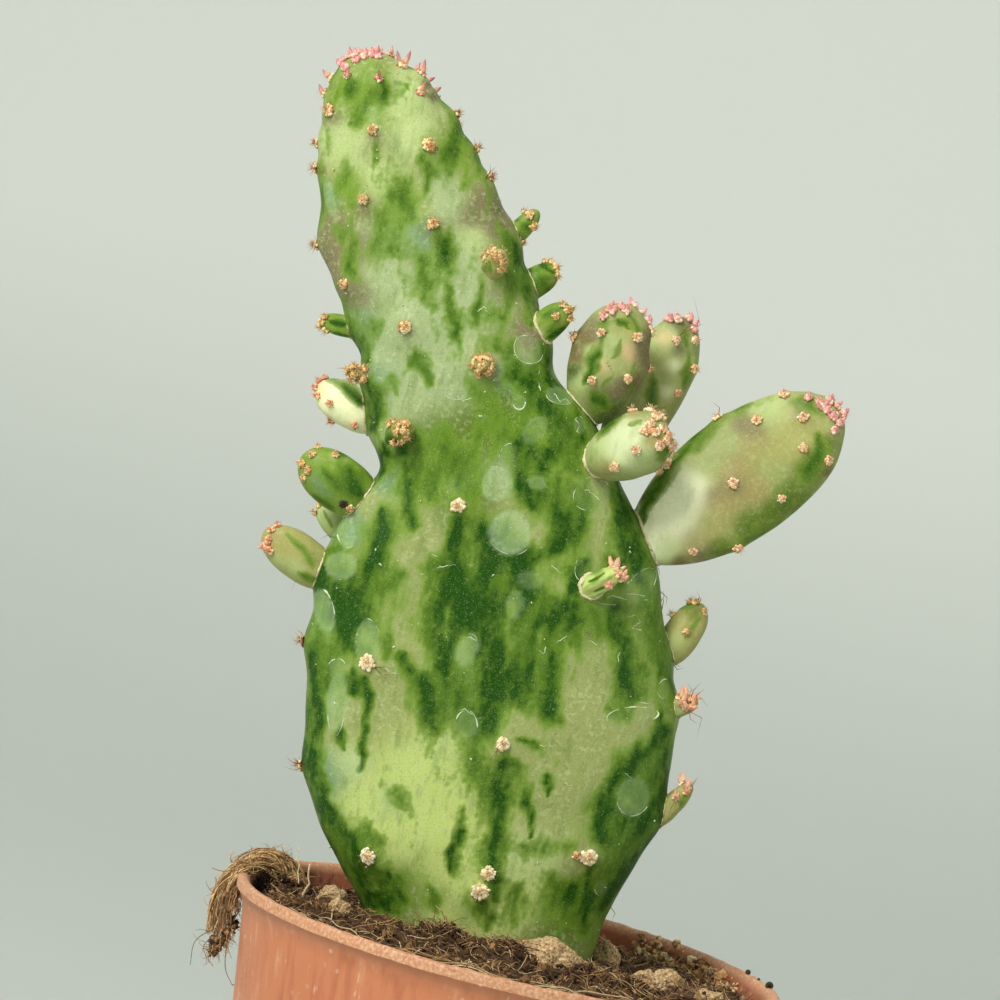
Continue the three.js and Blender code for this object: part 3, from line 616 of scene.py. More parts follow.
# Brush strokes on the stem, in pixels of the photograph: half the width at the start and at the end, then x
# and y of each point of the middle line. They are deep green, half green, or a thin wash, and pale ones lie
# over them.
DEEP_STROKES = [
    (5, 5, 385, 87, 385, 98), (7, 7, 404, 182, 411, 214), (4, 4, 428, 160, 426, 186),
    (6, 6, 457, 130, 451, 154), (5, 4, 350, 234, 353, 272), (8, 8, 438, 236, 445, 256, 451, 274),
    (8, 7, 422, 266, 427, 284, 425, 296), (4, 3, 449, 288, 452, 312, 460, 336),
    (4, 3, 482, 284, 478, 300, 476, 320), (7, 5, 491, 313, 499, 318), (3, 3, 496, 338, 499, 348),
    (7, 7, 511, 244, 518, 275, 524, 300), (5, 5, 527, 306, 530, 324), (5, 6, 356, 334, 366, 358),
    (2, 4, 414, 350, 418, 366, 426, 382), (5, 6, 368, 380, 375, 404, 372, 430), (7, 6, 398, 444, 404, 450),
    (5, 6, 543, 344, 546, 372, 556, 392), (8, 9, 516, 362, 524, 378), (9, 12, 530, 372, 536, 396, 548, 408),
    (12, 13, 548, 400, 562, 418, 574, 436), (8, 10, 556, 436, 556, 456),
    (7, 7, 524, 438, 538, 456, 548, 472), (7, 6, 518, 446, 520, 470, 519, 494), (8, 7, 528, 490, 534, 508),
    (7, 7, 404, 462, 409, 486, 411, 526), (5, 5, 384, 444, 384, 466, 372, 488),
    (9, 10, 383, 510, 385, 530, 380, 556), (10, 13, 378, 556, 366, 582, 352, 606),
    (13, 12, 350, 590, 352, 620, 352, 645), (6, 8, 320, 564, 320, 594),
    (10, 11, 334, 588, 342, 612, 350, 640), (7, 12, 458, 516, 456, 550, 453, 590),
    (12, 13, 456, 580, 452, 620, 446, 650), (11, 9, 444, 600, 440, 640, 444, 670),
    (7, 9, 480, 530, 488, 550, 498, 572), (11, 12, 490, 570, 490, 610, 490, 650),
    (13, 13, 492, 640, 490, 690, 488, 730), (8, 9, 468, 596, 474, 634), (5, 6, 400, 656, 412, 672),
    (8, 10, 418, 678, 430, 700, 434, 728), (12, 12, 520, 562, 522, 590, 518, 620),
    (7, 8, 562, 604, 546, 628, 532, 650), (9, 8, 528, 654, 523, 680, 521, 702),
    (9, 10, 574, 606, 564, 632, 556, 658), (10, 11, 554, 656, 549, 688, 550, 712),
    (12, 12, 560, 512, 570, 530, 560, 548), (12, 12, 584, 562, 575, 590),
    (8, 9, 545, 550, 530, 562, 505, 560), (9, 10, 502, 612, 499, 650, 492, 700),
    (9, 10, 618, 484, 624, 512, 630, 540), (10, 11, 628, 540, 636, 560, 640, 580),
    (9, 9, 622, 520, 634, 550), (10, 9, 612, 560, 618, 580), (6, 6, 618, 600, 617, 630, 620, 660),
    (7, 8, 622, 660, 628, 684, 636, 700), (7, 8, 662, 716, 662, 734, 648, 748),
    (11, 12, 652, 744, 634, 762, 618, 780), (10, 8, 614, 784, 605, 806, 598, 830),
    (6, 8, 664, 752, 666, 786, 660, 816), (6, 6, 644, 806, 640, 826), (4, 2, 516, 736, 530, 743, 543, 748),
    (4, 3, 546, 776, 549, 792), (6, 10, 506, 756, 501, 790, 497, 820),
    (11, 9, 497, 820, 493, 850, 490, 868), (7, 6, 515, 762, 522, 790, 529, 812), (5, 2, 529, 812, 532, 838),
    (4, 4, 460, 830, 455, 852, 454, 872), (6, 7, 312, 752, 315, 780, 326, 802),
    (6, 6, 326, 802, 340, 822, 354, 844), (8, 10, 352, 848, 362, 874, 374, 908),
    (5, 6, 386, 870, 394, 884, 404, 898), (8, 7, 376, 894, 388, 912), (6, 6, 499, 872, 498, 896),
    (8, 7, 589, 870, 588, 896, 584, 922), (6, 6, 644, 846, 624, 874, 604, 908),
    (4, 5, 312, 656, 314, 684, 318, 712), (5, 5, 318, 704, 316, 736), (6, 5, 356, 674, 354, 700),
    (5, 5, 366, 676, 367, 716), (4, 3, 363, 716, 361, 742, 362, 772), (4, 4, 338, 732, 341, 746),
    (6, 5, 310, 744, 308, 770), (5, 5, 600, 842, 606, 830), (6, 6, 572, 884, 566, 900),
]
MID_STROKES = [
    (9, 7, 352, 80, 353, 100), (8, 7, 368, 78, 372, 100), (9, 7, 382, 80, 388, 102),
    (4, 3, 334, 88, 336, 104), (5, 3, 362, 120, 347, 122), (7, 6, 370, 102, 376, 124),
    (3, 2, 382, 122, 400, 121), (3, 2, 397, 80, 409, 90), (8, 7, 390, 136, 402, 146),
    (4, 3, 326, 128, 329, 156), (5, 4, 374, 142, 376, 164), (8, 8, 346, 166, 352, 202),
    (8, 10, 392, 156, 403, 184), (7, 6, 428, 152, 426, 196), (9, 9, 457, 118, 456, 150, 449, 172),
    (5, 4, 430, 128, 430, 142), (8, 7, 474, 156, 466, 190), (5, 4, 440, 96, 452, 112),
    (8, 9, 368, 208, 384, 228, 398, 258), (8, 8, 350, 220, 352, 278), (9, 8, 420, 262, 432, 300),
    (6, 4, 401, 270, 404, 294), (6, 5, 374, 316, 378, 334), (7, 5, 446, 284, 456, 318, 462, 338),
    (7, 6, 480, 280, 474, 324), (11, 10, 494, 312, 502, 354), (7, 8, 350, 316, 366, 358),
    (7, 8, 370, 372, 378, 412), (8, 6, 466, 384, 484, 404), (6, 8, 409, 342, 428, 386),
    (9, 9, 506, 236, 514, 262), (10, 9, 436, 230, 452, 278), (8, 7, 338, 222, 334, 236),
    (6, 5, 392, 376, 400, 396), (8, 8, 520, 250, 534, 320), (14, 12, 408, 430, 418, 470),
    (20, 18, 450, 450, 462, 490), (18, 16, 490, 400, 500, 440), (12, 10, 420, 470, 436, 500),
    (14, 14, 528, 410, 540, 460), (16, 16, 556, 400, 580, 460), (12, 12, 570, 470, 580, 520),
    (14, 12, 540, 480, 560, 540), (12, 10, 480, 520, 500, 560), (9, 9, 466, 524, 473, 566),
    (14, 12, 480, 570, 474, 630), (15, 14, 440, 650, 462, 706), (12, 12, 470, 640, 476, 712),
    (12, 12, 516, 566, 548, 600), (12, 11, 506, 600, 504, 700), (10, 9, 544, 620, 532, 700),
    (11, 10, 404, 660, 432, 706), (7, 8, 408, 572, 394, 580, 380, 588), (12, 12, 328, 552, 348, 576),
    (12, 11, 344, 640, 328, 664), (12, 9, 366, 626, 368, 652), (11, 10, 620, 606, 632, 704),
    (10, 10, 648, 584, 658, 650), (14, 12, 622, 784, 630, 830), (15, 13, 632, 838, 606, 892),
    (16, 14, 550, 884, 580, 930), (7, 6, 522, 848, 572, 848), (13, 14, 466, 744, 488, 800),
    (5, 4, 462, 806, 459, 836), (11, 11, 364, 872, 398, 912), (10, 10, 344, 828, 382, 848),
    (7, 7, 312, 700, 318, 770), (10, 10, 462, 706, 474, 736), (8, 8, 536, 706, 556, 720),
    (8, 7, 656, 640, 668, 700), (10, 9, 590, 600, 600, 630), (7, 6, 480, 900, 486, 930),
    (5, 5, 430, 888, 438, 912), (7, 6, 518, 884, 512, 924), (6, 5, 398, 792, 404, 810),
    (7, 7, 648, 790, 640, 830), (26, 24, 448, 580, 452, 650), (24, 22, 520, 580, 524, 690),
    (20, 18, 552, 600, 550, 690), (18, 16, 480, 540, 520, 560), (9, 11, 318, 796, 336, 846, 358, 896),
    (16, 14, 650, 800, 628, 850, 612, 880), (8, 8, 608, 706, 628, 716), (10, 9, 330, 680, 350, 680),
    (6, 6, 430, 556, 428, 572), (6, 5, 390, 640, 384, 660), (8, 8, 316, 640, 324, 668),
    (5, 5, 606, 562, 606, 600),
]
WASH_STROKES = [
    (18, 15, 356, 84, 358, 116), (9, 8, 388, 84, 386, 110), (12, 13, 452, 116, 464, 180),
    (12, 10, 346, 162, 352, 200), (12, 10, 418, 312, 424, 340), (20, 18, 398, 190, 412, 270),
    (14, 12, 374, 250, 364, 330), (20, 16, 440, 230, 448, 290), (16, 14, 456, 320, 486, 380),
    (22, 20, 500, 300, 512, 380), (22, 20, 360, 400, 384, 420), (34, 30, 440, 430, 480, 500),
    (30, 30, 540, 420, 560, 500), (24, 22, 390, 520, 370, 640), (24, 22, 470, 530, 470, 600),
    (20, 20, 440, 690, 480, 760), (24, 20, 630, 600, 640, 700), (24, 22, 640, 760, 620, 880),
    (26, 24, 560, 880, 540, 920), (10, 9, 482, 790, 474, 870), (24, 22, 360, 850, 400, 900),
    (14, 12, 560, 820, 600, 840), (9, 8, 400, 790, 410, 826), (16, 14, 320, 650, 330, 720),
    (16, 14, 520, 740, 560, 760), (7, 6, 418, 850, 432, 900), (6, 6, 456, 856, 464, 900),
    (9, 9, 470, 904, 504, 926), (8, 7, 424, 720, 436, 780), (7, 6, 380, 740, 386, 790),
]
PALE_STROKES = [
    (5, 5, 467, 524, 471, 566), (6, 5, 514, 600, 507, 664), (5, 5, 543, 630, 536, 690),
    (6, 5, 538, 570, 562, 590), (7, 6, 466, 640, 474, 700), (5, 5, 532, 418, 550, 446),
    (6, 5, 508, 448, 510, 490), (4, 4, 357, 700, 359, 740), (6, 8, 600, 560, 598, 600),
    (4, 4, 448, 606, 446, 640), (6, 5, 568, 640, 564, 700), (5, 5, 472, 790, 476, 830),
    (4, 4, 512, 770, 516, 800), (5, 4, 626, 612, 638, 640), (7, 6, 362, 634, 372, 648),
    (6, 6, 616, 790, 632, 806), (4, 4, 420, 660, 428, 668), (4, 4, 560, 470, 580, 480),
    (5, 5, 330, 566, 350, 560), (3, 3, 392, 876, 400, 890), (3, 3, 368, 872, 376, 892),
    (4, 4, 540, 520, 528, 536), (4, 4, 338, 810, 352, 828), (3, 3, 488, 800, 484, 840),
]
STROKE_SOFTNESS = 1.5
OUT_OF_REACH = 9.0
HALF_AT_EDGE = 0.69
STROKE_TONES = (1.0, 0.55, 0.28)


def under_strokes(pixels, strokes):
    """How far the strokes cover each place: 1 on a middle line, a half at an edge, less further out.

    Strokes narrow towards their ends, and run together where they lie close."""
    bare = np.ones(len(pixels))
    for start, end, *line in strokes:
        line = np.array(line, float).reshape(-1, 2)
        lengths = np.concatenate([[0], np.cumsum(np.linalg.norm(np.diff(line, axis=0), axis=1))])
        nearest = np.full(len(pixels), OUT_OF_REACH)
        for i in range(len(line) - 1):
            step = line[i + 1] - line[i]
            share = np.clip((pixels - line[i]) @ step / (step @ step), 0, 1)
            away = np.linalg.norm(pixels - line[i] - share[:, None] * step, axis=1)
            done = (lengths[i] + share * (lengths[i + 1] - lengths[i])) / lengths[-1]
            taper = 1.2 - 0.6 * np.abs(2 * done - 1) ** 2
            nearest = np.minimum(nearest, away / ((start + (end - start) * done) * taper))
        bare *= 1 - np.exp(-HALF_AT_EDGE * nearest**STROKE_SOFTNESS)
    return 1 - bare


# The skin's ground colour under the green, as tints with the places where each is strongest: x, y and reach.
# The shade tint among them is painted shade on sides that turn away from the light.
TINTS = {
    "cream": (154, 164, 100),
    "mist": (166, 184, 134),
    "pale": (184, 202, 134),
    "lime": (194, 212, 124),
    "olive": (84, 112, 14),
    "leaf": (126, 154, 56),
    "blush": (128, 116, 88),
    # Waxy bloom together with a painted bluish reflection of the window, mostly on the stem's left edge.
    "bloom_and_painted_reflection": (110, 148, 112),
    # Painted shade: darker skin where sides turn away from the light.
    "shade": (70, 92, 36),
    "wine": (96, 62, 48),
}
STEM_TINTS = {
    "cream": [
        (410, 610, 36), (590, 700, 36), (588, 780, 40), (390, 710, 36), (430, 540, 24), (600, 535, 22),
        (540, 720, 26), (500, 276, 14), (410, 640, 26), (412, 560, 18),
    ],
    "mist": [
        (390, 330, 30), (440, 370, 34), (400, 400, 30), (460, 262, 20), (470, 300, 24), (390, 280, 22),
        (430, 330, 24), (500, 470, 16), (450, 205, 12), (380, 240, 14), (330, 700, 14), (440, 184, 12),
        (410, 242, 10), (380, 350, 12), (462, 352, 10),
    ],
    "pale": [
        (350, 145, 18), (408, 112, 20), (408, 80, 10), (470, 240, 12), (390, 190, 16), (404, 146, 12),
        (414, 100, 12), (440, 738, 16), (530, 864, 22), (352, 766, 16), (336, 136, 12), (380, 172, 10),
        (372, 420, 8),
    ],
    "lime": [
        (430, 760, 34), (440, 850, 44), (410, 820, 34), (460, 910, 30), (360, 800, 20), (530, 895, 22),
        (430, 800, 30), (500, 912, 18), (398, 760, 20),
    ],
    "olive": [
        (470, 908, 14), (440, 896, 12), (404, 876, 12), (440, 440, 30), (490, 440, 30), (520, 430, 26),
        (460, 486, 24), (560, 915, 26), (412, 895, 20), (500, 402, 20), (580, 540, 10), (400, 470, 12),
    ],
    "wine": [(426, 86, 4), (433, 97, 4), (319, 170, 4), (500, 226, 4), (508, 240, 4), (330, 104, 3)],
    "leaf": [
        (362, 82, 18), (374, 116, 12), (455, 150, 16), (350, 190, 14), (400, 204, 18), (560, 440, 26),
        (340, 100, 14),
    ],
    "blush": [
        (490, 205, 14), (500, 226, 12), (330, 226, 12), (332, 262, 18), (346, 290, 14), (408, 332, 8),
        (434, 230, 8), (366, 206, 8), (530, 330, 12), (500, 286, 12), (333, 118, 7), (374, 138, 6),
        (366, 246, 12), (546, 345, 8), (472, 216, 10), (322, 206, 7), (362, 296, 10),
    ],
    # Waxy bloom with a painted reflection of the window, strongest along the left edge.
    "bloom_and_painted_reflection": [
        (330, 196, 9), (392, 470, 16), (345, 530, 14), (322, 610, 16), (355, 345, 14), (378, 380, 16),
        (328, 778, 18), (450, 690, 18), (395, 800, 12), (365, 322, 12), (418, 238, 12), (512, 380, 14),
        (560, 396, 10),
    ],
    # Painted shade down the stem's right edge, which is turned from the light.
    "shade": [
        (640, 870, 26), (670, 780, 16), (666, 640, 12), (600, 620, 16), (648, 540, 12), (620, 905, 16),
        (672, 700, 10), (318, 200, 6), (498, 208, 6), (660, 600, 10),
    ],
}
# Hard water has dried to a whitish dust in these places: x, y and reach.
DUST = [
    (490, 690, 28), (452, 690, 26), (512, 606, 18), (500, 470, 24), (540, 432, 22), (474, 236, 24),
    (478, 772, 26), (642, 612, 20), (336, 702, 18), (530, 862, 22), (622, 690, 20), (468, 650, 18),
    (360, 790, 16), (560, 700, 20), (440, 250, 16), (350, 560, 16), (610, 850, 20), (410, 620, 14),
    (380, 270, 14), (590, 500, 16), (445, 640, 14),
]


def mixed_tints(pixels, places, ground, ground_weight=0.12):
    """Each place's mix of tints: the nearer a tint's places are, the more of it."""
    total = np.full(len(pixels), ground_weight)
    mixed = np.outer(total, palette(TINTS[ground]))
    for tint, spots in places.items():
        for x, y, reach in spots:
            weight = np.exp(-((pixels[:, 0] - x) ** 2 + (pixels[:, 1] - y) ** 2) / reach**2)
            total = total + weight
            mixed += np.outer(weight, palette(TINTS[tint]))
    return mixed / total[:, None]


# Dried water drops have left pale ovals on the skin, many with a raised corky outline: middle, half sizes,
# turn in degrees, how pale the oval is, how thick its outline is in millimetres, and between which angles it
# shows.
DROPS = [
    (510, 533, 21, 22, 0, 0.75, 0.03, 40, 150), (497, 484, 15, 18, 10, 0.5, 0.02, 200, 300),
    (507, 462, 8, 20, 6, 0.2, 0.08, 190, 355), (592, 494, 18, 17, 0, 0.12, 0.05, 60, 330),
    (537, 483, 9, 7, 0, 0.4, 0.02, 20, 120), (519, 402, 7, 7, 0, 0.3, 0.1, 0, 300),
    (528, 350, 13, 15, -30, 0.32, 0.06, 30, 300), (346, 531, 9, 18, -8, 0.5, 0.12, 10, 175),
    (341, 566, 16, 14, 0, 0.45, 0.05, 60, 140), (324, 611, 10, 22, -14, 0.5, 0.12, 230, 390),
    (367, 643, 12, 23, 0, 0.35, 0.09, 200, 345), (337, 702, 10, 31, 4, 0.4, 0.06, 30, 160),
    (467, 724, 11, 13, 0, 0.25, 0.09, 200, 380), (632, 716, 25, 9, -8, 0.1, 0.11, 150, 400),
    (633, 797, 16, 20, 10, 0.35, 0.04, 20, 160), (664, 689, 6, 10, 0, 0.15, 0.06, 90, 300),
    (560, 396, 14, 8, 20, 0.4, 0.05, 20, 160), (601, 888, 7, 7, 0, 0.2, 0.04, 0, 200),
    (467, 650, 10, 16, 20, 0.45, 0.05, 230, 320), (352, 766, 10, 14, 0, 0.4, 0.0, 0, 0),
    (640, 586, 20, 12, -50, 0.2, 0.05, 250, 420), (516, 604, 8, 14, 0, 0.3, 0.0, 0, 0),
    (530, 580, 14, 8, 10, 0.3, 0.0, 0, 0), (455, 392, 12, 7, 20, 0.3, 0.03, 10, 160),
    (535, 430, 10, 16, 40, 0.25, 0.03, 190, 300), (580, 425, 6, 8, 0, 0.3, 0.08, 100, 300),
    (330, 200, 5, 20, -14, 0.5, 0.0, 0, 0), (337, 668, 8, 10, 0, 0.25, 0.1, 200, 340),
    (630, 600, 22, 6, 5, 0.1, 0.05, 180, 360), (585, 566, 10, 14, 10, 0.1, 0.06, 100, 200),
]
SCRATCHES = [
    [(421, 575), (440, 567), (460, 564), (480, 567)], [(428, 553), (436, 556), (443, 555)],
    [(539, 650), (543, 654), (546, 648)], [(546, 648), (556, 643), (567, 636)], [(565, 709), (574, 711)],
    [(594, 601), (604, 604), (616, 605)], [(464, 421), (475, 424)], [(565, 783), (580, 789)],
    [(540, 745), (556, 747)], [(590, 641), (596, 645), (602, 643)],
    [(541, 366), (538, 376), (540, 390), (538, 386)], [(554, 392), (560, 402), (566, 399), (569, 404)],
    [(576, 420), (580, 426), (577, 431)], [(478, 311), (484, 307), (490, 314), (498, 308)],
    [(556, 560), (552, 566), (560, 572)], [(426, 457), (433, 461)], [(456, 396), (463, 401), (471, 398)],
    [(340, 307), (346, 312), (352, 313)], [(502, 353), (506, 350), (511, 353)], [(376, 627), (379, 632)],
    [(385, 668), (392, 674), (398, 675)], [(372, 688), (378, 692)],
    [(628, 618), (636, 614), (640, 622), (632, 628), (642, 630)], [(624, 700), (650, 704)],
    [(612, 596), (630, 600), (648, 600)], [(625, 774), (632, 778)], [(640, 776), (650, 781)],
    [(585, 490), (594, 494), (600, 500)], [(588, 500), (600, 503)], [(602, 620), (604, 630)],
    [(462, 640), (470, 637), (476, 641)], [(455, 712), (465, 709), (474, 716)], [(620, 652), (618, 662)],
    [(500, 449), (497, 456)], [(333, 345), (338, 352)],
]


def inside_ovals(pixels, drops):
    """The paleness that the drop marks give each place, with a soft rim."""
    palest = np.zeros(len(pixels))
    for x, y, wide, high, turn, pale, *_ in drops:
        turn = math.radians(turn)
        across = (pixels[:, 0] - x) * math.cos(turn) + (pixels[:, 1] - y) * math.sin(turn)
        along = (pixels[:, 1] - y) * math.cos(turn) - (pixels[:, 0] - x) * math.sin(turn)
        out = np.hypot(across / wide, along / high)
        level = 0.55 + 0.45 * np.clip(out, 0, 1) ** 3
        palest = np.maximum(palest, pale * np.clip((1.06 - out) * 7, 0, 1) * level)
    return palest


# The back shows the same play of green and cream as the front, bent by slow waves away from the edges.
PIXELS_PER_MM = FOCAL_LENGTH_PIXELS / CAMERA_DISTANCE
turned = np.where(stem_angle > math.pi, stem_angle - 2 * math.pi, stem_angle)
behind = np.clip(np.sin(turned), 0, 1)
shifted_share = np.clip(stem_share + 0.03 * behind * np.sin(stem_share * 9 + 1), 0, 1)
shifted_angle = -np.clip(np.abs(turned) + 0.4 * behind * np.sin(stem_share * 14), 0, math.pi)
back_pixels = photo_pixels(stem_surface(shifted_share, shifted_angle))
stem_pixels = np.where((turned > 0)[:, None], back_pixels, photo_pixels(stem_points))
WANDER = ((26, 4.5), (11, 3.2), (5, 2.0))


def wandering(pixels, points, seed):
    """Shifts places along slow and quick waves, which gives the strokes the uneven edges of grown colour."""
    shifted = pixels.copy()
    for k, (size, reach) in enumerate(WANDER):
        for axis in (0, 1):
            shifted[:, axis] += reach * lumps(points, size / PIXELS_PER_MM, seed + 2 * k + axis)
    return shifted


def greenness(pixels, points, strokes, seed, waviness=1.0):
    """How green the lists of strokes make each place, from 0 to 1."""
    wandered = pixels + (wandering(pixels, points, seed) - pixels) * waviness
    bare = np.ones(len(pixels))
    for tone, some in zip(STROKE_TONES, strokes):
        bare *= 1 - tone * under_strokes(wandered, some)
    return 1 - bare


def dusted(pixels, places):
    """How much white dust lies on each place."""
    total = np.full(len(pixels), 0.12)
    for x, y, reach in places:
        total += np.exp(-((pixels[:, 0] - x) ** 2 + (pixels[:, 1] - y) ** 2) / reach**2)
    return np.minimum(total, 1)


# The upper half is a younger growth: its green is lighter.
YOUNG_FROM = 106
YOUNG_OVER = 18
YOUNG_PALER = 0.3
YOUNG_FLECKS = 0.34
FLECK_SIZE = 1.7
EDGE_GREEN = 0.4
STROKE_PALER = 0.42
stem_green = greenness(stem_pixels, stem_points, (DEEP_STROKES, MID_STROKES, WASH_STROKES), 21)
young = np.clip((stem_points[:, 2] - YOUNG_FROM) / YOUNG_OVER, 0, 1)
stem_green *= 1 - YOUNG_PALER * young
stem_green += YOUNG_FLECKS * young * np.clip(lumps(stem_points * [1, 1, 0.6], FLECK_SIZE, 91), -0.2, 1)
stem_green *= 1 - STROKE_PALER * under_strokes(wandering(stem_pixels, stem_points, 28), PALE_STROKES)
edge = np.abs(np.cos(stem_angle)) ** 9 * (1 + lumps(stem_points, 5, 27))
stem_green += EDGE_GREEN * (1 - stem_green) * edge
stem_values = {
    "green": stem_green,
    "ground": mixed_tints(stem_pixels, STEM_TINTS, "cream"),
    "drop": inside_ovals(stem_pixels, DROPS),
    "dust": dusted(stem_pixels, DUST),
}


def plant_skin(name, deep, wash, patchy=1.0):
    """Waxy skin. The mesh gives its ground colour, green, drop marks and dust, and noise their fine edges."""
    material, into, at = new_material(name, 0.42)
    middle = tuple(0.5 * thin + 0.5 * full for thin, full in zip(wash, deep))
    clouds = grain(at, 0.16, 3)
    streaks = grain(at, 0.85, 6, (1, 1, 0.32))
    flecks = grain(at, 1.7, 4)
    grit = grain(at, 5.5, 2)
    rough = (clouds - 0.5) * 0.35 + (streaks - 0.5) * 0.9 + (flecks - 0.5) * 0.5 + (grit - 0.5) * 0.3
    tone = painted(at, "green") + rough * patchy
    skin = painted(at, "ground", "Color")
    skin = blend(skin, colour(200, 210, 158), between(flecks, 0.48, 0.72, 0, 0.5 * patchy))
    skin = blend(skin, colour(112, 136, 66), between(streaks, 0.5, 0.28, 0, 0.5 * patchy))
    skin = blend(skin, wash, between(tone, 0.18, 0.4, 0, 0.75))
    skin = blend(skin, middle, between(tone, 0.36, 0.68, 0, 0.9))
    skin = blend(skin, deep, between(tone, 0.64, 1.02, 0, 0.95))
    drops = painted(at, "drop")
    skin = blend(skin, colour(180, 206, 156), drops * between(flecks, 0.25, 0.75, 0.55, 1.0))
    dust = painted(at, "dust")
    pores = at.node("ShaderNodeTexVoronoi", {}, {"Vector": at, "Scale": 3.4 / MM})
    dots = between(pores, 0.42, 0.14) * between(grain(at, 0.8, 3), 0.35, 0.65, 0.15, 1.0)
    skin = blend(skin, colour(190, 206, 150), dots * (dust * 0.14 + 0.03))
    skin = blend(skin, colour(30, 54, 10), between(grit, 0.48, 0.26, 0, 0.27 * patchy))
    skin = blend(skin, colour(206, 218, 166), between(grit, 0.56, 0.8, 0, 0.3))
    specks = at.node("ShaderNodeTexVoronoi", {}, {"Vector": at, "Scale": 1.3 / MM})
    dusty = between(specks, 0.16, 0.05) * between(grain(at, 0.5, 3), 0.5, 0.66) * dust
    skin = blend(skin, colour(220, 230, 198), dusty * 0.5)
    skin.feeds(into["Base Color"])
    dull = between(streaks, 0.3, 0.7, 0.32, 0.48) + drops * 0.2 + dots * 0.1
    dull.feeds(into["Roughness"])
    relief = flecks * 0.6 + dots * 0.3 + streaks * 0.8 + drops * 0.5 + grit * 0.25 + dusty * 0.5
    emboss(into, relief, 0.5, 0.09)
    into["Specular IOR Level"].default_value = 0.12
    into["Subsurface Weight"].default_value = 0.06
    into["Subsurface Radius"].default_value = (0.6, 1.0, 0.3)
    into["Subsurface Scale"].default_value = 0.0008
    return material


stem_skin = plant_skin("stem_skin", colour(24, 72, 2), colour(110, 146, 40))
stem = add_mesh("stem_flesh", stem_points, stem_faces, stem_skin, values=stem_values)
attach(stem, "root")
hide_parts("stem")

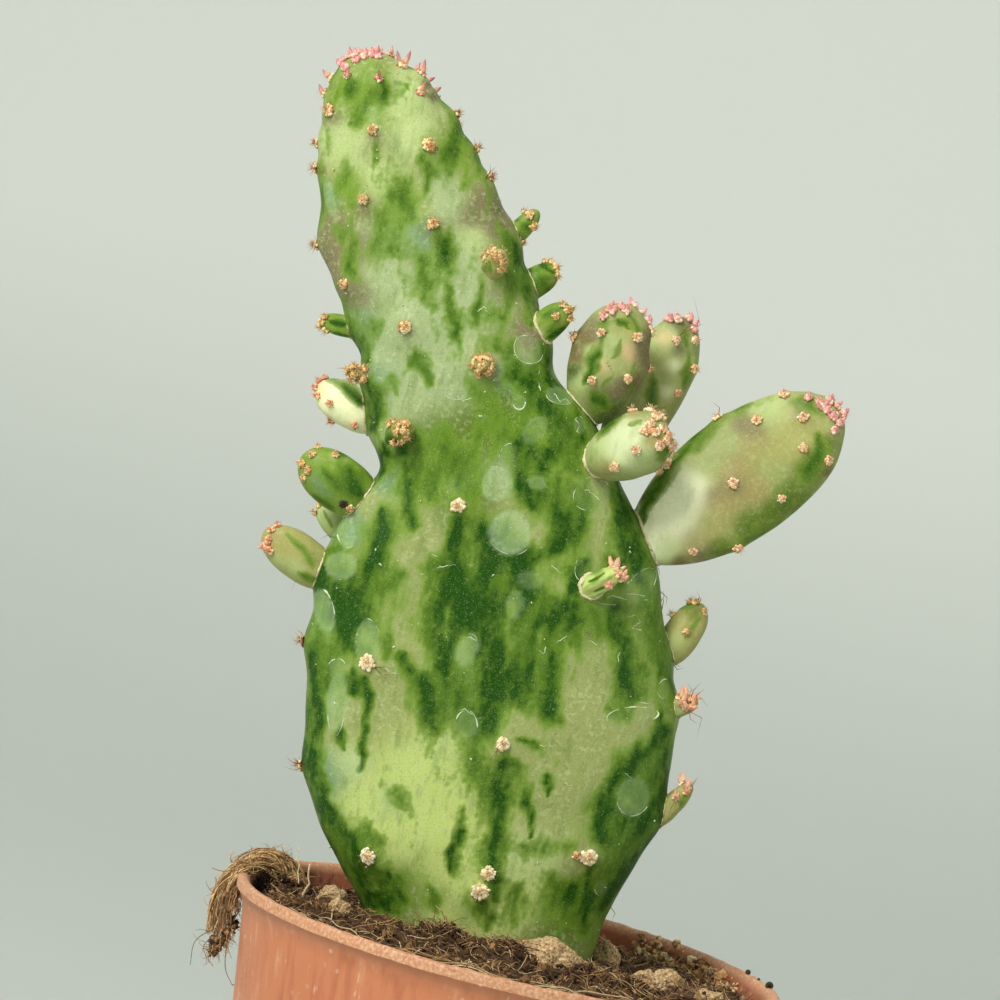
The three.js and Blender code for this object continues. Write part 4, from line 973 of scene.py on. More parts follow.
# The side pads: younger pads that grew out of the stem's right edge, with thinner, paler skin and a flush of
# pink where the sun reaches them. Each is one closed body whose narrow end is rooted in the stem.
ROOT_DEPTH = 1.4
SHOOT_SQUARENESS = 2.15
SHOOT_BLUNTNESS = 2.3
PAD_ROOT_BLUNTNESS = 1.75
SKIN_RINGS = 92
SKIN_SIDES = 100
PAD_RISE = 0.35
PAD_RISE_REACH = 1.3
# The near-white and the whitish-green tints here are painted highlights on the pads.
TINTS.update({
    "straw": (166, 164, 98), "painted_highlight": (252, 255, 216), "soft_painted_highlight": (212, 222, 176),
    "tan": (160, 146, 92), "plum": (118, 98, 62), "rose": (236, 196, 150),
})
PADS = {
    "pad_right_long": {
        "base": (4.8, 0, 103.9), "tip": (22.9, -2, 124.4), "width": 14.4, "thick": 6.4,
        "facing": (-0.2, -1, 0.1), "belly": 0.5,
        "grown": [
            (757, 421), (803, 418), (803, 448), (733, 483), (781, 498), (693, 550), (715, 414), (784, 397),
            (827, 460), (737, 546), (669, 466),
        ],
        "young": [
            (818, 404), (828, 403), (835, 409), (840, 416), (833, 431), (826, 412), (808, 400), (822, 408),
            (832, 418), (838, 424),
        ],
        "strokes": (
            [
                (5, 5, 636, 528, 652, 492, 672, 462), (6, 5, 674, 458, 690, 440, 704, 422),
                (4, 5, 822, 436, 816, 452, 806, 470),
            ],
            [
                (7, 6, 706, 424, 726, 410, 742, 404), (6, 6, 700, 448, 716, 424),
                (7, 7, 806, 478, 818, 458), (6, 5, 798, 400, 818, 414), (5, 5, 748, 544, 780, 520),
            ],
            [
                (10, 9, 800, 478, 816, 462, 826, 440), (9, 8, 810, 490, 770, 520, 726, 540),
                (8, 6, 790, 402, 824, 418), (8, 8, 724, 406, 770, 398), (6, 5, 652, 500, 684, 462),
                (8, 8, 700, 556, 740, 540),
            ],
        ),
        "tints": {
            # Painted highlight at the long pad's root, bright enough to lift the shade that the stem casts
            # there.
            "painted_highlight": [(664, 518, 24), (682, 498, 18), (654, 538, 14), (694, 486, 12)],
            "pale": [(770, 412, 16), (668, 546, 10)],
            "cream": [(706, 466, 14), (720, 448, 12), (774, 470, 12)],
            "straw": [(790, 430, 22), (800, 446, 14), (764, 458, 14), (712, 524, 14)],
            "tan": [(722, 500, 16), (692, 544, 12), (757, 440, 12), (737, 472, 14), (752, 490, 14)],
            "olive": [
                (752, 526, 14), (790, 496, 14), (720, 548, 9), (824, 446, 8), (806, 470, 10),
                (770, 512, 10),
            ],
            "blush": [
                (745, 424, 8), (757, 430, 9), (704, 556, 8), (733, 484, 10), (714, 494, 8), (800, 414, 6),
            ],
            "plum": [(755, 434, 3), (680, 562, 6), (826, 470, 5)],
        },
    },
    "pad_right_upper": {
        "base": (-4.9, -0.8, 117.4), "tip": (-3.7, -2.4, 130.4), "width": 9.0, "thick": 5.2,
        "facing": (0, -1, 0.1), "belly": 0.52,
        "grown": [(577, 338), (602, 333), (636, 338), (592, 380), (627, 378), (652, 332), (647, 368)],
        "young": [(604, 318), (612, 312), (621, 309), (632, 308), (640, 315), (626, 313), (647, 323)],
        "strokes": (
            [(2, 3, 598, 356, 590, 368, 584, 380), (3, 2, 620, 322, 628, 330), (4, 5, 588, 400, 604, 406)],
            [
                (3, 3, 606, 336, 594, 360, 582, 386), (2, 2, 610, 362, 602, 388),
                (3, 3, 620, 342, 613, 360), (6, 6, 588, 398, 608, 410), (3, 3, 632, 318, 640, 334),
                (3, 3, 606, 322, 600, 336), (3, 3, 636, 366, 630, 392),
            ],
            [(8, 8, 590, 398, 612, 408, 634, 398), (4, 4, 584, 366, 592, 350), (6, 5, 612, 322, 640, 330)],
        ),
        "tints": {
            "cream": [(616, 360, 12), (602, 374, 10)], "straw": [(624, 332, 8)],
            "pale": [(606, 356, 10), (582, 380, 7), (590, 352, 6), (616, 340, 7)],
            "rose": [(604, 366, 7), (628, 352, 7)],
            "blush": [(592, 330, 8), (640, 350, 8), (620, 386, 8), (614, 392, 8)],
            "plum": [(576, 352, 8), (648, 358, 8), (636, 384, 9), (586, 338, 6), (650, 338, 7)],
            # Painted shade at the pad's lower end under the front pad, and on its left edge.
            "shade": [(606, 406, 12), (574, 372, 6)],
        },
    },
    "pad_right_back": {
        "base": (-1.2, 2.8, 111.9), "tip": (4.1, 6.8, 130.9), "width": 8.4, "thick": 4.6,
        "facing": (0.4, -1, 0), "belly": 0.6, "grown": [(675, 341), (676, 393), (692, 369), (693, 341)],
        "young": [(678, 317), (687, 321), (692, 330), (670, 319)],
        "strokes": (
            [(4, 4, 651, 384, 651, 404)],
            [(4, 3, 684, 330, 686, 344), (4, 5, 652, 376, 650, 412), (4, 4, 690, 356, 684, 384)],
            [(5, 5, 682, 326, 690, 350), (7, 6, 688, 366, 678, 404), (7, 7, 664, 408, 654, 430)],
        ),
        "tints": {
            "cream": [(668, 376, 14)], "straw": [(660, 364, 12), (668, 400, 12)], "pale": [(664, 345, 12)],
            "rose": [(664, 340, 7)], "blush": [(676, 350, 6), (684, 322, 8)],
            # Small painted highlights.
            "painted_highlight": [(666, 392, 6), (672, 366, 6)], "tan": [(658, 392, 8), (646, 410, 6)],
        },
    },
    "pad_right_front": {
        "base": (-2.9, -4.2, 112.4), "tip": (4.0, -9.6, 116.9), "width": 7.6, "thick": 6.2,
        "facing": (-0.3, -1, 0.7), "belly": 0.5, "grown": [(631, 407), (616, 466), (656, 467), (646, 432)],
        "young": [
            (655, 420), (661, 430), (664, 441), (655, 434), (668, 446), (661, 416), (650, 426), (658, 446),
            (650, 412), (666, 436),
        ],
        "strokes": (
            [(3, 3, 600, 430, 612, 419), (3, 3, 662, 446, 668, 452)],
            [(6, 5, 598, 434, 620, 416), (5, 4, 656, 452, 666, 458), (3, 3, 634, 424, 642, 420)],
            [(9, 7, 596, 438, 612, 420, 630, 414), (7, 7, 662, 450, 652, 462), (6, 5, 592, 446, 594, 460)],
        ),
        "tints": {
            # A soft painted highlight where the front pad faces the light.
            "soft_painted_highlight": [(620, 436, 14), (628, 450, 12), (612, 450, 8), (636, 432, 8)],
            "pale": [(604, 450, 12), (640, 456, 10)], "cream": [(600, 462, 8)],
            "tan": [(650, 440, 7), (604, 468, 7), (634, 410, 6)],
        },
    },
}


def unit(vectors):
    """A vector, or each of several, made one long."""
    vectors = np.asarray(vectors, float)
    return vectors / np.linalg.norm(vectors, axis=-1, keepdims=True)


def shoot_frame(base, tip, facing):
    """Where a shoot starts under the stem's skin, how long it is, and its ways along, across and through."""
    along = unit(np.subtract(tip, base))
    start = np.array(base) - along * ROOT_DEPTH
    across = unit(np.cross(along, facing))
    return start, np.linalg.norm(tip - start), along, across, np.cross(along, across)


def shoot_surface(base, tip, width, thick, facing, belly, root_bluntness=SHOOT_BLUNTNESS):
    """A surface of shares from root to tip and angles round it, for a pad or a bud."""
    start, length, along, across, through = shoot_frame(base, tip, facing)

    def surface(shares, angles):
        span = np.where(shares < belly, belly, 1 - belly)
        bluntness = np.where(shares < belly, root_bluntness, SHOOT_BLUNTNESS)
        swell = np.sqrt(np.maximum(0, 1 - (np.abs(shares - belly) / span) ** bluntness))
        aside = width / 2 * swell * flatten(np.cos(angles), SHOOT_SQUARENESS)
        deep = thick / 2 * swell * flatten(np.sin(angles), SHOOT_SQUARENESS)
        return start + np.outer(shares * length, along) + np.outer(aside, across) + np.outer(deep, through)

    return surface


def rounded_stops(count):
    """Stops from 0 to 1 that crowd towards both ends, where a rounded body turns quickly."""
    return (1 - np.cos(math.pi * np.arange(count + 1) / count)) / 2


pad_skin = plant_skin("pad_skin", colour(52, 96, 14), colour(118, 142, 52), 0.42)
shoots = {}
for seed, (name, pad) in enumerate(PADS.items()):
    shape = [pad[key] for key in ("base", "tip", "width", "thick", "facing", "belly")]
    surface = shoot_surface(*shape, PAD_ROOT_BLUNTNESS)
    points, faces, _, _ = closed_skin(surface, rounded_stops(SKIN_RINGS), SKIN_SIDES)
    normals = outward_normals(points, faces)
    tree = BVHTree.FromPolygons(points.tolist(), faces)
    start, _, _, _, through = shoot_frame(pad["base"], pad["tip"], pad["facing"])
    areoles = []
    for kind in ("grown", "young"):
        for pixel in pad[kind]:
            place, normal, _ = on_skin(tree, pixel, (pad["base"][1] + pad["tip"][1]) / 2)
            areoles.append((kind, place, normal))
            mirrored, facing_back = nearest_on(tree, place - 2 * ((place - start) @ through) * through)
            if np.linalg.norm(mirrored - place) > pad["thick"] / 2:
                areoles.append((kind, mirrored, facing_back))
    rise = np.zeros(len(points))
    for _, place, _ in areoles:
        rise = np.maximum(rise, np.exp(-((points - place) ** 2).sum(1) / PAD_RISE_REACH**2))
    uneven = 0.1 * lumps(points, 4.5, 31 + seed) + 0.04 * lumps(points, 1.8, 41 + seed)
    points = points + normals * (PAD_RISE * rise + uneven)[:, None]
    pixels = photo_pixels(points)
    values = {
        "green": greenness(pixels, points, pad["strokes"], 51 + 7 * seed),
        "ground": mixed_tints(pixels, pad["tints"], "cream"),
        "drop": np.zeros(len(points)),
        "dust": np.full(len(points), 0.3),
    }
    piece = add_mesh(name + "_flesh", points, faces, pad_skin, values=values)
    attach(piece, "root")
    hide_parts(name)
    tree = BVHTree.FromPolygons(points.tolist(), faces)
    shoots[name] = {"surface": surface, "tree": tree, "areoles": areoles, "width": pad["width"]}

# The buds: pads that have only begun to grow, out of areoles on the stem's edges and front. They are of the
# stem's own flesh, smooth and tight, and each has its own share of green and cream.
BUD_FACING = (0, -1, 0)
BUD_BELLY = 0.5
BUD_RINGS = 34
BUD_SIDES = 48
BUD_RIBS = 5
BUD_WAVINESS = 0.3
STRIPE_GREEN = {"leaf": 0.35, "lime": 0.3, "straw": 0.15}
TINTS["ivory"] = (246, 248, 200)
# Each bud's ground colour, how deep its ribs are, places with another tint, and strokes of deep and of half
# green. The shade tint among them is painted shade on a bud's darker side.
BUD_LOOKS = {
    "right_1": (
        "leaf", 0.02, {"shade": [(515, 236, 5)], "tan": [(532, 214, 5)]}, [(2, 2, 516, 232, 522, 241)],
        [(4, 4, 518, 220, 530, 228)],
    ),
    "right_2": (
        "leaf", 0.02, {"tan": [(556, 278, 6)], "shade": [(533, 286, 6)]},
        [(3, 3, 530, 270, 532, 290), (2, 2, 540, 264, 552, 272)], [(5, 5, 538, 272, 548, 292)],
    ),
    "right_3": (
        "leaf", 0.02, {"straw": [(545, 322, 5)], "tan": [(556, 322, 5)], "pale": [(540, 334, 4)]},
        [(2, 3, 548, 336, 564, 328)], [(4, 5, 544, 314, 560, 306), (3, 3, 548, 330, 560, 318)],
    ),
    "right_4": (
        "straw", 0.02, {"olive": [(694, 612, 7)], "shade": [(690, 604, 5)], "pale": [(676, 640, 7)]}, [],
        [(3, 3, 678, 608, 692, 604), (2, 2, 686, 640, 700, 616)],
    ),
    "right_5": ("cream", 0.06, {"straw": [(688, 704, 5)]}, [(1.4, 1.4, 682, 700, 694, 696)], []),
    "right_6": ("straw", 0.04, {"tan": [(688, 788, 5)]}, [], [(2, 2, 680, 806, 686, 792)]),
    "left_1": (
        "leaf", 0.05, {"straw": [(338, 322, 3)]}, [(2.4, 2.4, 331, 322, 347, 326)],
        [(2.2, 2.2, 334, 334, 347, 336)],
    ),
    "left_2": ("tan", 0.05, {"shade": [(352, 382, 5)]}, [], []),
    "left_3": (
        "ivory", 0.01, {"rose": [(318, 386, 7)], "straw": [(328, 420, 4)]}, [(3, 3, 346, 388, 360, 402)],
        [(6, 6, 336, 382, 352, 388, 366, 408), (3, 3, 326, 378, 336, 380)],
    ),
    "left_4": (
        "leaf", 0.02,
        {
            "bloom_and_painted_reflection": [(326, 488, 9), (318, 478, 6)], "pale": [(334, 455, 4), (346, 459, 4)],
            "tan": [(306, 468, 5)],
        },
        [(6, 8, 350, 470, 361, 492), (3, 3, 334, 449, 346, 453)],
        [(7, 8, 340, 466, 352, 488), (3, 4, 314, 496, 334, 508), (2, 3, 322, 468, 338, 486)],
    ),
    "left_5": (
        "straw", 0.02,
        {"pale": [(294, 570, 9), (276, 562, 6)], "tan": [(273, 538, 6)], "olive": [(312, 560, 6)]}, [],
        [(2.6, 3, 286, 534, 302, 550, 313, 566), (3, 3, 300, 574, 314, 580)],
    ),
    "left_6": ("pale", 0.02, {"lime": [(330, 530, 6)]}, [], [(2, 2, 324, 512, 332, 528)]),
    "face_1": (
        "straw", 0.05, {"olive": [(486, 268, 5)], "tan": [(494, 274, 5)]}, [], [(2, 2, 488, 262, 491, 272)],
    ),
    "face_2": ("straw", 0.05, {"olive": [(481, 380, 5)]}, [], []),
    "face_3": (
        "leaf", 0.04, {"lime": [(386, 438, 4)]}, [(3, 3, 384, 440, 398, 446)], [(4, 4, 384, 428, 390, 442)],
    ),
    "face_4": (
        "lime", 0.1, {"pale": [(600, 576, 4)]},
        [(0.9, 0.8, 588, 582, 604, 574), (0.8, 0.7, 592, 592, 610, 584)], [(2, 2, 590, 572, 604, 564)],
    ),
}
bud_skin = plant_skin("bud_skin", colour(44, 86, 10), colour(110, 144, 44), 0.35)
bud_points, bud_faces, bud_values = [], [], {"green": [], "ground": [], "drop": [], "dust": []}
for seed, (name, (base, tip, width, thick)) in enumerate(BUDS.items()):
    surface = shoot_surface(base, tip, width, thick, BUD_FACING, BUD_BELLY)
    points, faces, shares, angles = closed_skin(surface, rounded_stops(BUD_RINGS), BUD_SIDES)
    ground, ribs, tints, deep, half_green = BUD_LOOKS[name]
    ribbed = width / 2 * ribs * np.cos(BUD_RIBS * angles + seed) * np.sin(math.pi * shares)
    ribbed += 0.04 * lumps(points, 1.2, 60 + seed)
    points = points + outward_normals(points, faces) * ribbed[:, None]
    pixels = photo_pixels(points)
    stripes = 0.5 + 0.5 * np.cos(BUD_RIBS * angles + 2.2 * lumps(points, 2.5, 70 + seed) + seed)
    green = greenness(pixels, points, (deep, half_green), 80 + 7 * seed, BUD_WAVINESS)
    bud_faces += [[len(bud_points) + i for i in face] for face in faces]
    bud_points += points.tolist()
    bud_values["green"] += (green + STRIPE_GREEN.get(ground, 0) * stripes).tolist()
    bud_values["ground"] += mixed_tints(pixels, tints, ground, 0.5).tolist()
    bud_values["drop"] += [0.0] * len(points)
    bud_values["dust"] += [0.2] * len(points)
    tree = BVHTree.FromPolygons(points.tolist(), faces)
    shoots[name] = {"surface": surface, "tree": tree, "areoles": [], "width": width}
bud_flesh = add_mesh("bud_flesh", bud_points, bud_faces, bud_skin, values=bud_values)
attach(bud_flesh, "root")

# The collars: where a pad or bud broke out of the stem, a ring of pale corky skin was left round its foot.
# Each follows the line in which the two skins meet.
COLLAR_STEPS = 48
COLLAR_WIDTH = 0.012
BARE_FEET = ("face_1", "face_2", "face_3")
COLLAR_EXTRA = {"face_4": 0.22, "right_3": 0.12, "pad_right_front": 0.2, "left_3": 0.08}
rng = np.random.default_rng(20)


def tube(line, radii, sides=6, closed=False):
    """Points and faces of a round tube along a line, with a radius for each of its points."""
    line = np.asarray(line, float)
    ahead = np.roll(line, -1, 0) - np.roll(line, 1, 0) if closed else np.gradient(line, axis=0)
    ahead /= np.maximum(np.linalg.norm(ahead, axis=1), 1e-9)[:, None]
    side = np.cross(ahead[0], (0.31, 0.23, 0.92) if abs(ahead[0][2]) < 0.8 else (0.94, 0.31, 0.13))
    rings = []
    for place, way, radius in zip(line, ahead, radii):
        side = unit(side - way * (side @ way))
        third = np.cross(way, side)
        turns = full_turn(sides)
        rings.append(place + radius * (np.outer(np.cos(turns), side) + np.outer(np.sin(turns), third)))
    faces = ring_faces(len(line), sides)
    if closed:
        last = (len(line) - 1) * sides
        faces += [[last + j, last + (j + 1) % sides, (j + 1) % sides, j] for j in range(sides)]
    else:
        faces += [list(range(sides))[::-1], list(range((len(line) - 1) * sides, len(line) * sides))]
    return np.concatenate(rings), faces


class Batch:
    """Many small bodies that are gathered into one mesh, each with a tint and a material."""

    def __init__(self):
        self.points, self.faces, self.tints, self.kinds, self.count = [], [], [], [], 0

    def add(self, points, faces, tint, kind=0):
        self.faces += [[self.count + i for i in face] for face in faces]
        self.points.append(points)
        self.tints.append(np.broadcast_to(np.asarray(tint, float)[..., :3], (len(points), 3)))
        self.kinds += [kind] * len(faces)
        self.count += len(points)

    def build(self, name, *materials, smooth=True):
        values = {"tint": np.concatenate(self.tints)}
        made = add_mesh(name, np.concatenate(self.points), self.faces, *materials, values=values,
                        face_material=self.kinds, smooth=smooth)
        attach(made, "root")
        return made


def outside_stem(point):
    place, normal, _, _ = stem_skin_tree.find_nearest(Vector(point))
    return (Vector(point) - place).dot(normal) > 0


def foot_line(surface):
    """The line round a shoot's foot in which it comes out of the stem."""
    line = []
    for angle in full_turn(COLLAR_STEPS):
        shares = np.linspace(0.02, 0.6, 40)
        points = surface(shares, np.full(40, angle))
        first = next((i for i, point in enumerate(points) if outside_stem(point)), None)
        if first is not None:
            line.append(points[first])
    return np.array(line)


collars = Batch()
for name, shoot in shoots.items():
    if name in BARE_FEET:
        continue
    line = foot_line(shoot["surface"])
    if len(line) > COLLAR_STEPS * 0.8:
        line = (line + np.roll(line, 1, 0) + np.roll(line, -1, 0)) / 3
        radius = 0.05 + COLLAR_WIDTH * shoot["width"] * 0.5 + COLLAR_EXTRA.get(name, 0)
        radii = radius * (1 + 0.6 * lumps(line, 0.9, len(name)))
        points, faces = tube(line, radii, 7, closed=True)
        collars.add(points + 0.05 * rng.standard_normal(points.shape), faces, colour(218, 210, 166))


def corky(name, dark, rough=0.8):
    """Dead, dry skin in the colour of each body, mottled darker."""
    material, into, at = new_material(name, rough)
    tint = painted(at, "tint", "Color")
    mottle = grain(at, 2.6, 4)
    blend(tint, dark, between(mottle, 0.5, 0.72, 0, 0.55)).feeds(into["Base Color"])
    between(mottle, 0.3, 0.7, rough - 0.1, rough + 0.1).feeds(into["Roughness"])
    emboss(into, mottle, 0.6, 0.08)
    return material


cork = corky("cork", colour(168, 150, 96))
bud_collars = collars.build("bud_collars", cork)

# The marks: hard water has dried on the skin in thin raised lines of lime and cork, round the pale ovals and
# in short scratches, and has left single grains.
MARK_STEP = 1.6
MARK_GRAINS = 260
MARK_TINT = colour(214, 226, 190)
SCRATCH_RADIUS = 0.05
marks = Batch()


def lay_mark(pixels, radius, seed):
    """Raised lines on the skin along a line of pixels, broken where the lime has flaked off."""
    line = [on_skin(stem_skin_tree, pixel)[:2] for pixel in pixels]
    places = np.array([place for place, _ in line])
    thickness = 0.3 + 1.3 * lumps(places, 1.1, seed) + 0.5 * lumps(places, 0.4, seed + 50)
    run = []
    for i in range(len(places) + 1):
        whole = i < len(places) and thickness[i] > 0.1
        if whole and (not run or np.linalg.norm(places[i] - places[i - 1]) < 1):
            run.append(i)
            continue
        if len(run) > 2:
            marks.add(*tube(places[run], radius * np.clip(thickness[run], 0.25, 1.3), 5), MARK_TINT)
        run = []


for seed, (x, y, wide, high, turn, _, outline, first, last) in enumerate(DROPS):
    if outline:
        turns = np.arange(math.radians(first), math.radians(last), MARK_STEP / max(wide, high))
        wobble = 1 + 0.07 * np.sin(2 * turns + seed) + 0.03 * np.sin(3 * turns + 2 * seed)
        across, along = wide * wobble * np.cos(turns), high * wobble * np.sin(turns)
        turn = math.radians(turn)
        oval = np.stack([x + across * math.cos(turn) - along * math.sin(turn),
                         y + across * math.sin(turn) + along * math.cos(turn)], -1)
        lay_mark(oval, outline, 100 + seed)
for seed, scratch in enumerate(SCRATCHES):
    corners = np.array(scratch, float)
    steps = [
        np.linspace(a, b, max(2, int(np.linalg.norm(b - a) / MARK_STEP)))
        for a, b in zip(corners, corners[1:])
    ]
    wavering = rng.normal(0, 0.5, (sum(map(len, steps)), 2))
    lay_mark(np.concatenate(steps) + wavering, SCRATCH_RADIUS, 200 + seed)
for index in rng.choice(np.flatnonzero(stem_points[:, 2] > 58), MARK_GRAINS, replace=False):
    size = rng.uniform(0.04, 0.13)
    end = stem_points[index] + rng.normal(0, size, 3)
    line = [stem_points[index], end, end + rng.normal(0, size, 3)]
    marks.add(*tube(line, [size, size * 0.8, size * 0.3], 5), MARK_TINT)
lime = corky("dried_lime", colour(150, 172, 120), 0.6)
water_marks = marks.build("water_marks", lime)

# The areoles: cushions of felt out of which the bristles and spines grow. Old ones are worn to a cream
# button, grown ones hold a tuft of tan bristles, and young ones at the tips still carry their small pink
# leaf.
BEAD_DETAIL = 1
# For each kind: how many lumps of felt, how far out they lie, their least and greatest size, and how high
# they rise; then how many bristles, their lengths, spread and thickness; and the tints of both.
AREOLE_PARTS = ("lumps", "radius", "bead", "high", "hairs", "long", "spread", "thin", "tints")
AREOLE_KINDS = {
    "old": (
        40, 0.84, (0.2, 0.33), 0.16, 34, (0.35, 0.7), 0.9, 0.035,
        [(255, 238, 196), (250, 228, 180), (255, 244, 212), (238, 212, 162)],
    ),
    "grown": (
        24, 0.62, (0.13, 0.25), 0.26, 44, (0.3, 0.7), 0.8, 0.034,
        [(252, 220, 160), (236, 188, 122), (206, 140, 84), (252, 230, 180)],
    ),
    "soft": (
        24, 0.6, (0.14, 0.27), 0.24, 34, (0.3, 0.65), 0.8, 0.03,
        [(255, 226, 176), (250, 198, 148), (230, 164, 120), (255, 238, 202)],
    ),
    "brush": (
        10, 0.4, (0.14, 0.26), 0.2, 22, (0.4, 0.9), 0.5, 0.03,
        [(255, 222, 176), (250, 190, 150), (238, 160, 130), (255, 236, 200)],
    ),
    "edge": (
        20, 0.54, (0.13, 0.25), 0.24, 50, (0.35, 0.9), 0.8, 0.034,
        [(240, 204, 150), (214, 160, 106), (250, 224, 180), (160, 100, 66)],
    ),
    "young": (
        16, 0.48, (0.14, 0.26), 0.16, 34, (0.35, 0.7), 0.9, 0.03,
        [(255, 238, 200), (255, 222, 180), (250, 190, 150), (206, 116, 98)],
    ),
    "pink": (
        12, 0.46, (0.2, 0.34), 0.3, 24, (0.35, 0.7), 0.9, 0.03,
        [(255, 206, 186), (252, 184, 172), (255, 226, 200), (246, 158, 160)],
    ),
    "tuft": (
        13, 0.44, (0.12, 0.26), 0.24, 26, (0.35, 0.75), 0.85, 0.032,
        [(250, 216, 150), (234, 188, 118), (200, 144, 84), (250, 224, 170)],
    ),
    "rosy": (
        13, 0.44, (0.12, 0.26), 0.24, 26, (0.35, 0.75), 0.85, 0.032,
        [(255, 204, 156), (242, 170, 124), (226, 138, 108), (255, 222, 178)],
    ),
    "scar": (
        16, 0.5, (0.14, 0.28), 0.0, 8, (0.3, 0.5), 0.9, 0.03,
        [(62, 44, 32), (40, 30, 24), (84, 62, 44), (52, 40, 30)],
    ),
}
# The kinds with scale leaves: the tints of a leaf's root and end, how many leaves, and their lengths.
LEAFY_AREOLES = {
    "brush": (((255, 214, 170), (234, 142, 122)), 3, (0.6, 1.1)),
    "young": (((244, 176, 150), (146, 58, 78)), 1, (0.9, 1.4)),
    "pink": (((255, 196, 186), (206, 96, 120)), 2, (0.45, 0.9)),
}
NO_LEAVES = ((), 0, ())
UPWARDS = 0.35
LEAF_RINGS = 7
LEAF_SIDES = 8
LEAF_WIDE = 0.27
CENTRE_TINT = (208, 166, 116)
CENTRE_LUMPS = 5
BUD_TUFTS = {
    "right_1": [(530, 215), (533, 226), (524, 212), (522, 242)],
    "right_2": [(550, 263), (557, 276), (556, 268), (544, 261)],
    "right_3": [(567, 310), (556, 316), (570, 318), (571, 309), (563, 305)],
    "right_4": [(697, 603), (667, 610), (704, 612), (686, 632), (690, 600)],
    "right_5": [(688, 698), (683, 704), (692, 706), (680, 698), (694, 700), (686, 708)],
    "right_6": [(688, 788), (682, 784), (676, 798), (686, 792)],
    "left_1": [(322, 322), (326, 330), (325, 317), (320, 326)],
    "left_3": [(319, 380), (316, 388), (318, 396), (330, 403), (328, 425), (355, 425), (324, 376)],
    "left_4": [(302, 464), (335, 455), (304, 478), (318, 448), (308, 470), (312, 455), (350, 508)],
    "left_5": [(268, 540), (272, 530), (270, 550), (277, 526), (264, 546)],
    "left_6": [(315, 512), (320, 505)],
    "face_1": [
        (500, 256), (494, 250), (502, 262), (497, 258), (489, 253), (495, 254), (501, 268), (486, 258),
    ],
    "face_2": [
        (476, 360), (488, 359), (482, 366), (490, 368), (484, 376), (492, 377), (478, 372), (482, 358),
        (473, 366), (486, 372), (480, 380), (491, 362),
    ],
    "face_3": [
        (392, 424), (401, 423), (405, 431), (397, 433), (401, 441), (386, 421), (394, 442), (406, 425),
        (398, 427), (407, 437),
    ],
    "face_4": [(616, 568), (609, 585), (621, 578), (612, 562), (623, 570), (618, 574)],
}
ROSY_BUDS = ("left_3", "left_5")
BRUSH_BUDS = ("right_5", "right_6", "face_4")
FURRY_BUDS = {"face_1": 50, "face_2": 80, "face_3": 50, "left_2": 150}
FUR_FROM = 0.62
TUFT_STOPS = ((0.6, 4), (0.85, 4), (0.99, 1))
DARK_SCAR = (343, 504)
SPINES = [
    ((485, 178), (492, 163)), ((474, 150), (475, 138)), ((362, 858), (354, 872)), ((365, 862), (361, 878)),
    ((497, 750), (489, 762)), ((376, 668), (392, 677)), ((378, 668), (388, 675)), ((685, 710), (703, 735)),
    ((664, 592), (668, 606)), ((673, 660), (681, 668)), ((690, 795), (695, 780)), ((303, 640), (297, 628)),
    ((298, 765), (284, 757)), ((298, 767), (284, 769)), ((305, 584), (290, 586)), ((335, 538), (320, 537)),
    ((350, 372), (336, 367)), ((533, 305), (541, 306)), ((655, 565), (661, 576)), ((610, 907), (614, 921)),
    ((735, 547), (732, 554)), ((737, 547), (739, 555)), ((715, 410), (715, 401)), ((690, 318), (703, 300)),
    ((695, 325), (703, 321)), ((582, 852), (571, 857)), ((368, 852), (384, 848)), ((690, 700), (700, 681)),
    ((693, 703), (709, 703)), ((692, 700), (705, 688)), ((690, 708), (697, 727)), ((686, 696), (690, 682)),
    ((697, 605), (699, 592)), ((668, 608), (664, 590)), ((674, 664), (684, 670)), ((688, 788), (699, 776)),
    ((303, 640), (294, 632)), ((303, 642), (292, 640)), ((503, 744), (494, 757)), ((676, 800), (668, 816)),
    ((486, 180), (497, 165)),
]
SPINE_THICK = 0.055


def needles(batch, roots, ways, lengths, thickness, root_tint, end_tint, kind=0):
    """Thin three-sided needles, each bent a little, that run to a point."""
    count = len(roots)
    side = unit(np.cross(ways, rng.standard_normal((count, 3))))
    third = np.cross(ways, side)
    bend = side * rng.normal(0, 0.16, (count, 1)) + third * rng.normal(0, 0.16, (count, 1))
    bend *= lengths[:, None]
    points = np.empty((count, 7, 3))
    for k, turn in enumerate(full_turn(3)):
        out = (side * math.cos(turn) + third * math.sin(turn)) * thickness
        points[:, k] = roots + out
        points[:, 3 + k] = roots + ways * (lengths * 0.55)[:, None] - bend + out * 0.8
    points[:, 6] = roots + ways * lengths[:, None] + bend
    one = [[2, 1, 0], [0, 1, 4, 3], [1, 2, 5, 4], [2, 0, 3, 5], [3, 4, 6], [4, 5, 6], [5, 3, 6]]
    faces = [[7 * n + i for i in face] for n in range(count) for face in one]
    shade = rng.uniform(0.75, 1.15, (count, 1, 1))
    share = np.array([0, 0, 0, 0.55, 0.55, 0.55, 1])[None, :, None]
    tints = (np.array(root_tint[:3]) * (1 - share) + np.array(end_tint[:3]) * share) * shade
    batch.add(points.reshape(-1, 3), faces, tints.reshape(-1, 3), kind)


def scattered(way, spread, count):
    """Directions spread round a way."""
    ways = np.array(way) + spread * rng.standard_normal((count, 3)) * 0.75
    ways += np.array(way) * np.maximum(0, 0.25 - ways @ way)[:, None]
    return unit(ways)


def ball(detail):
    """Points and faces of a ball of triangles."""
    made = bmesh.new()
    bmesh.ops.create_icosphere(made, subdivisions=detail, radius=1)
    points = np.array([v.co for v in made.verts])
    faces = [[v.index for v in f.verts] for f in made.faces]
    made.free()
    return points, faces


bead_points, bead_faces = ball(BEAD_DETAIL)


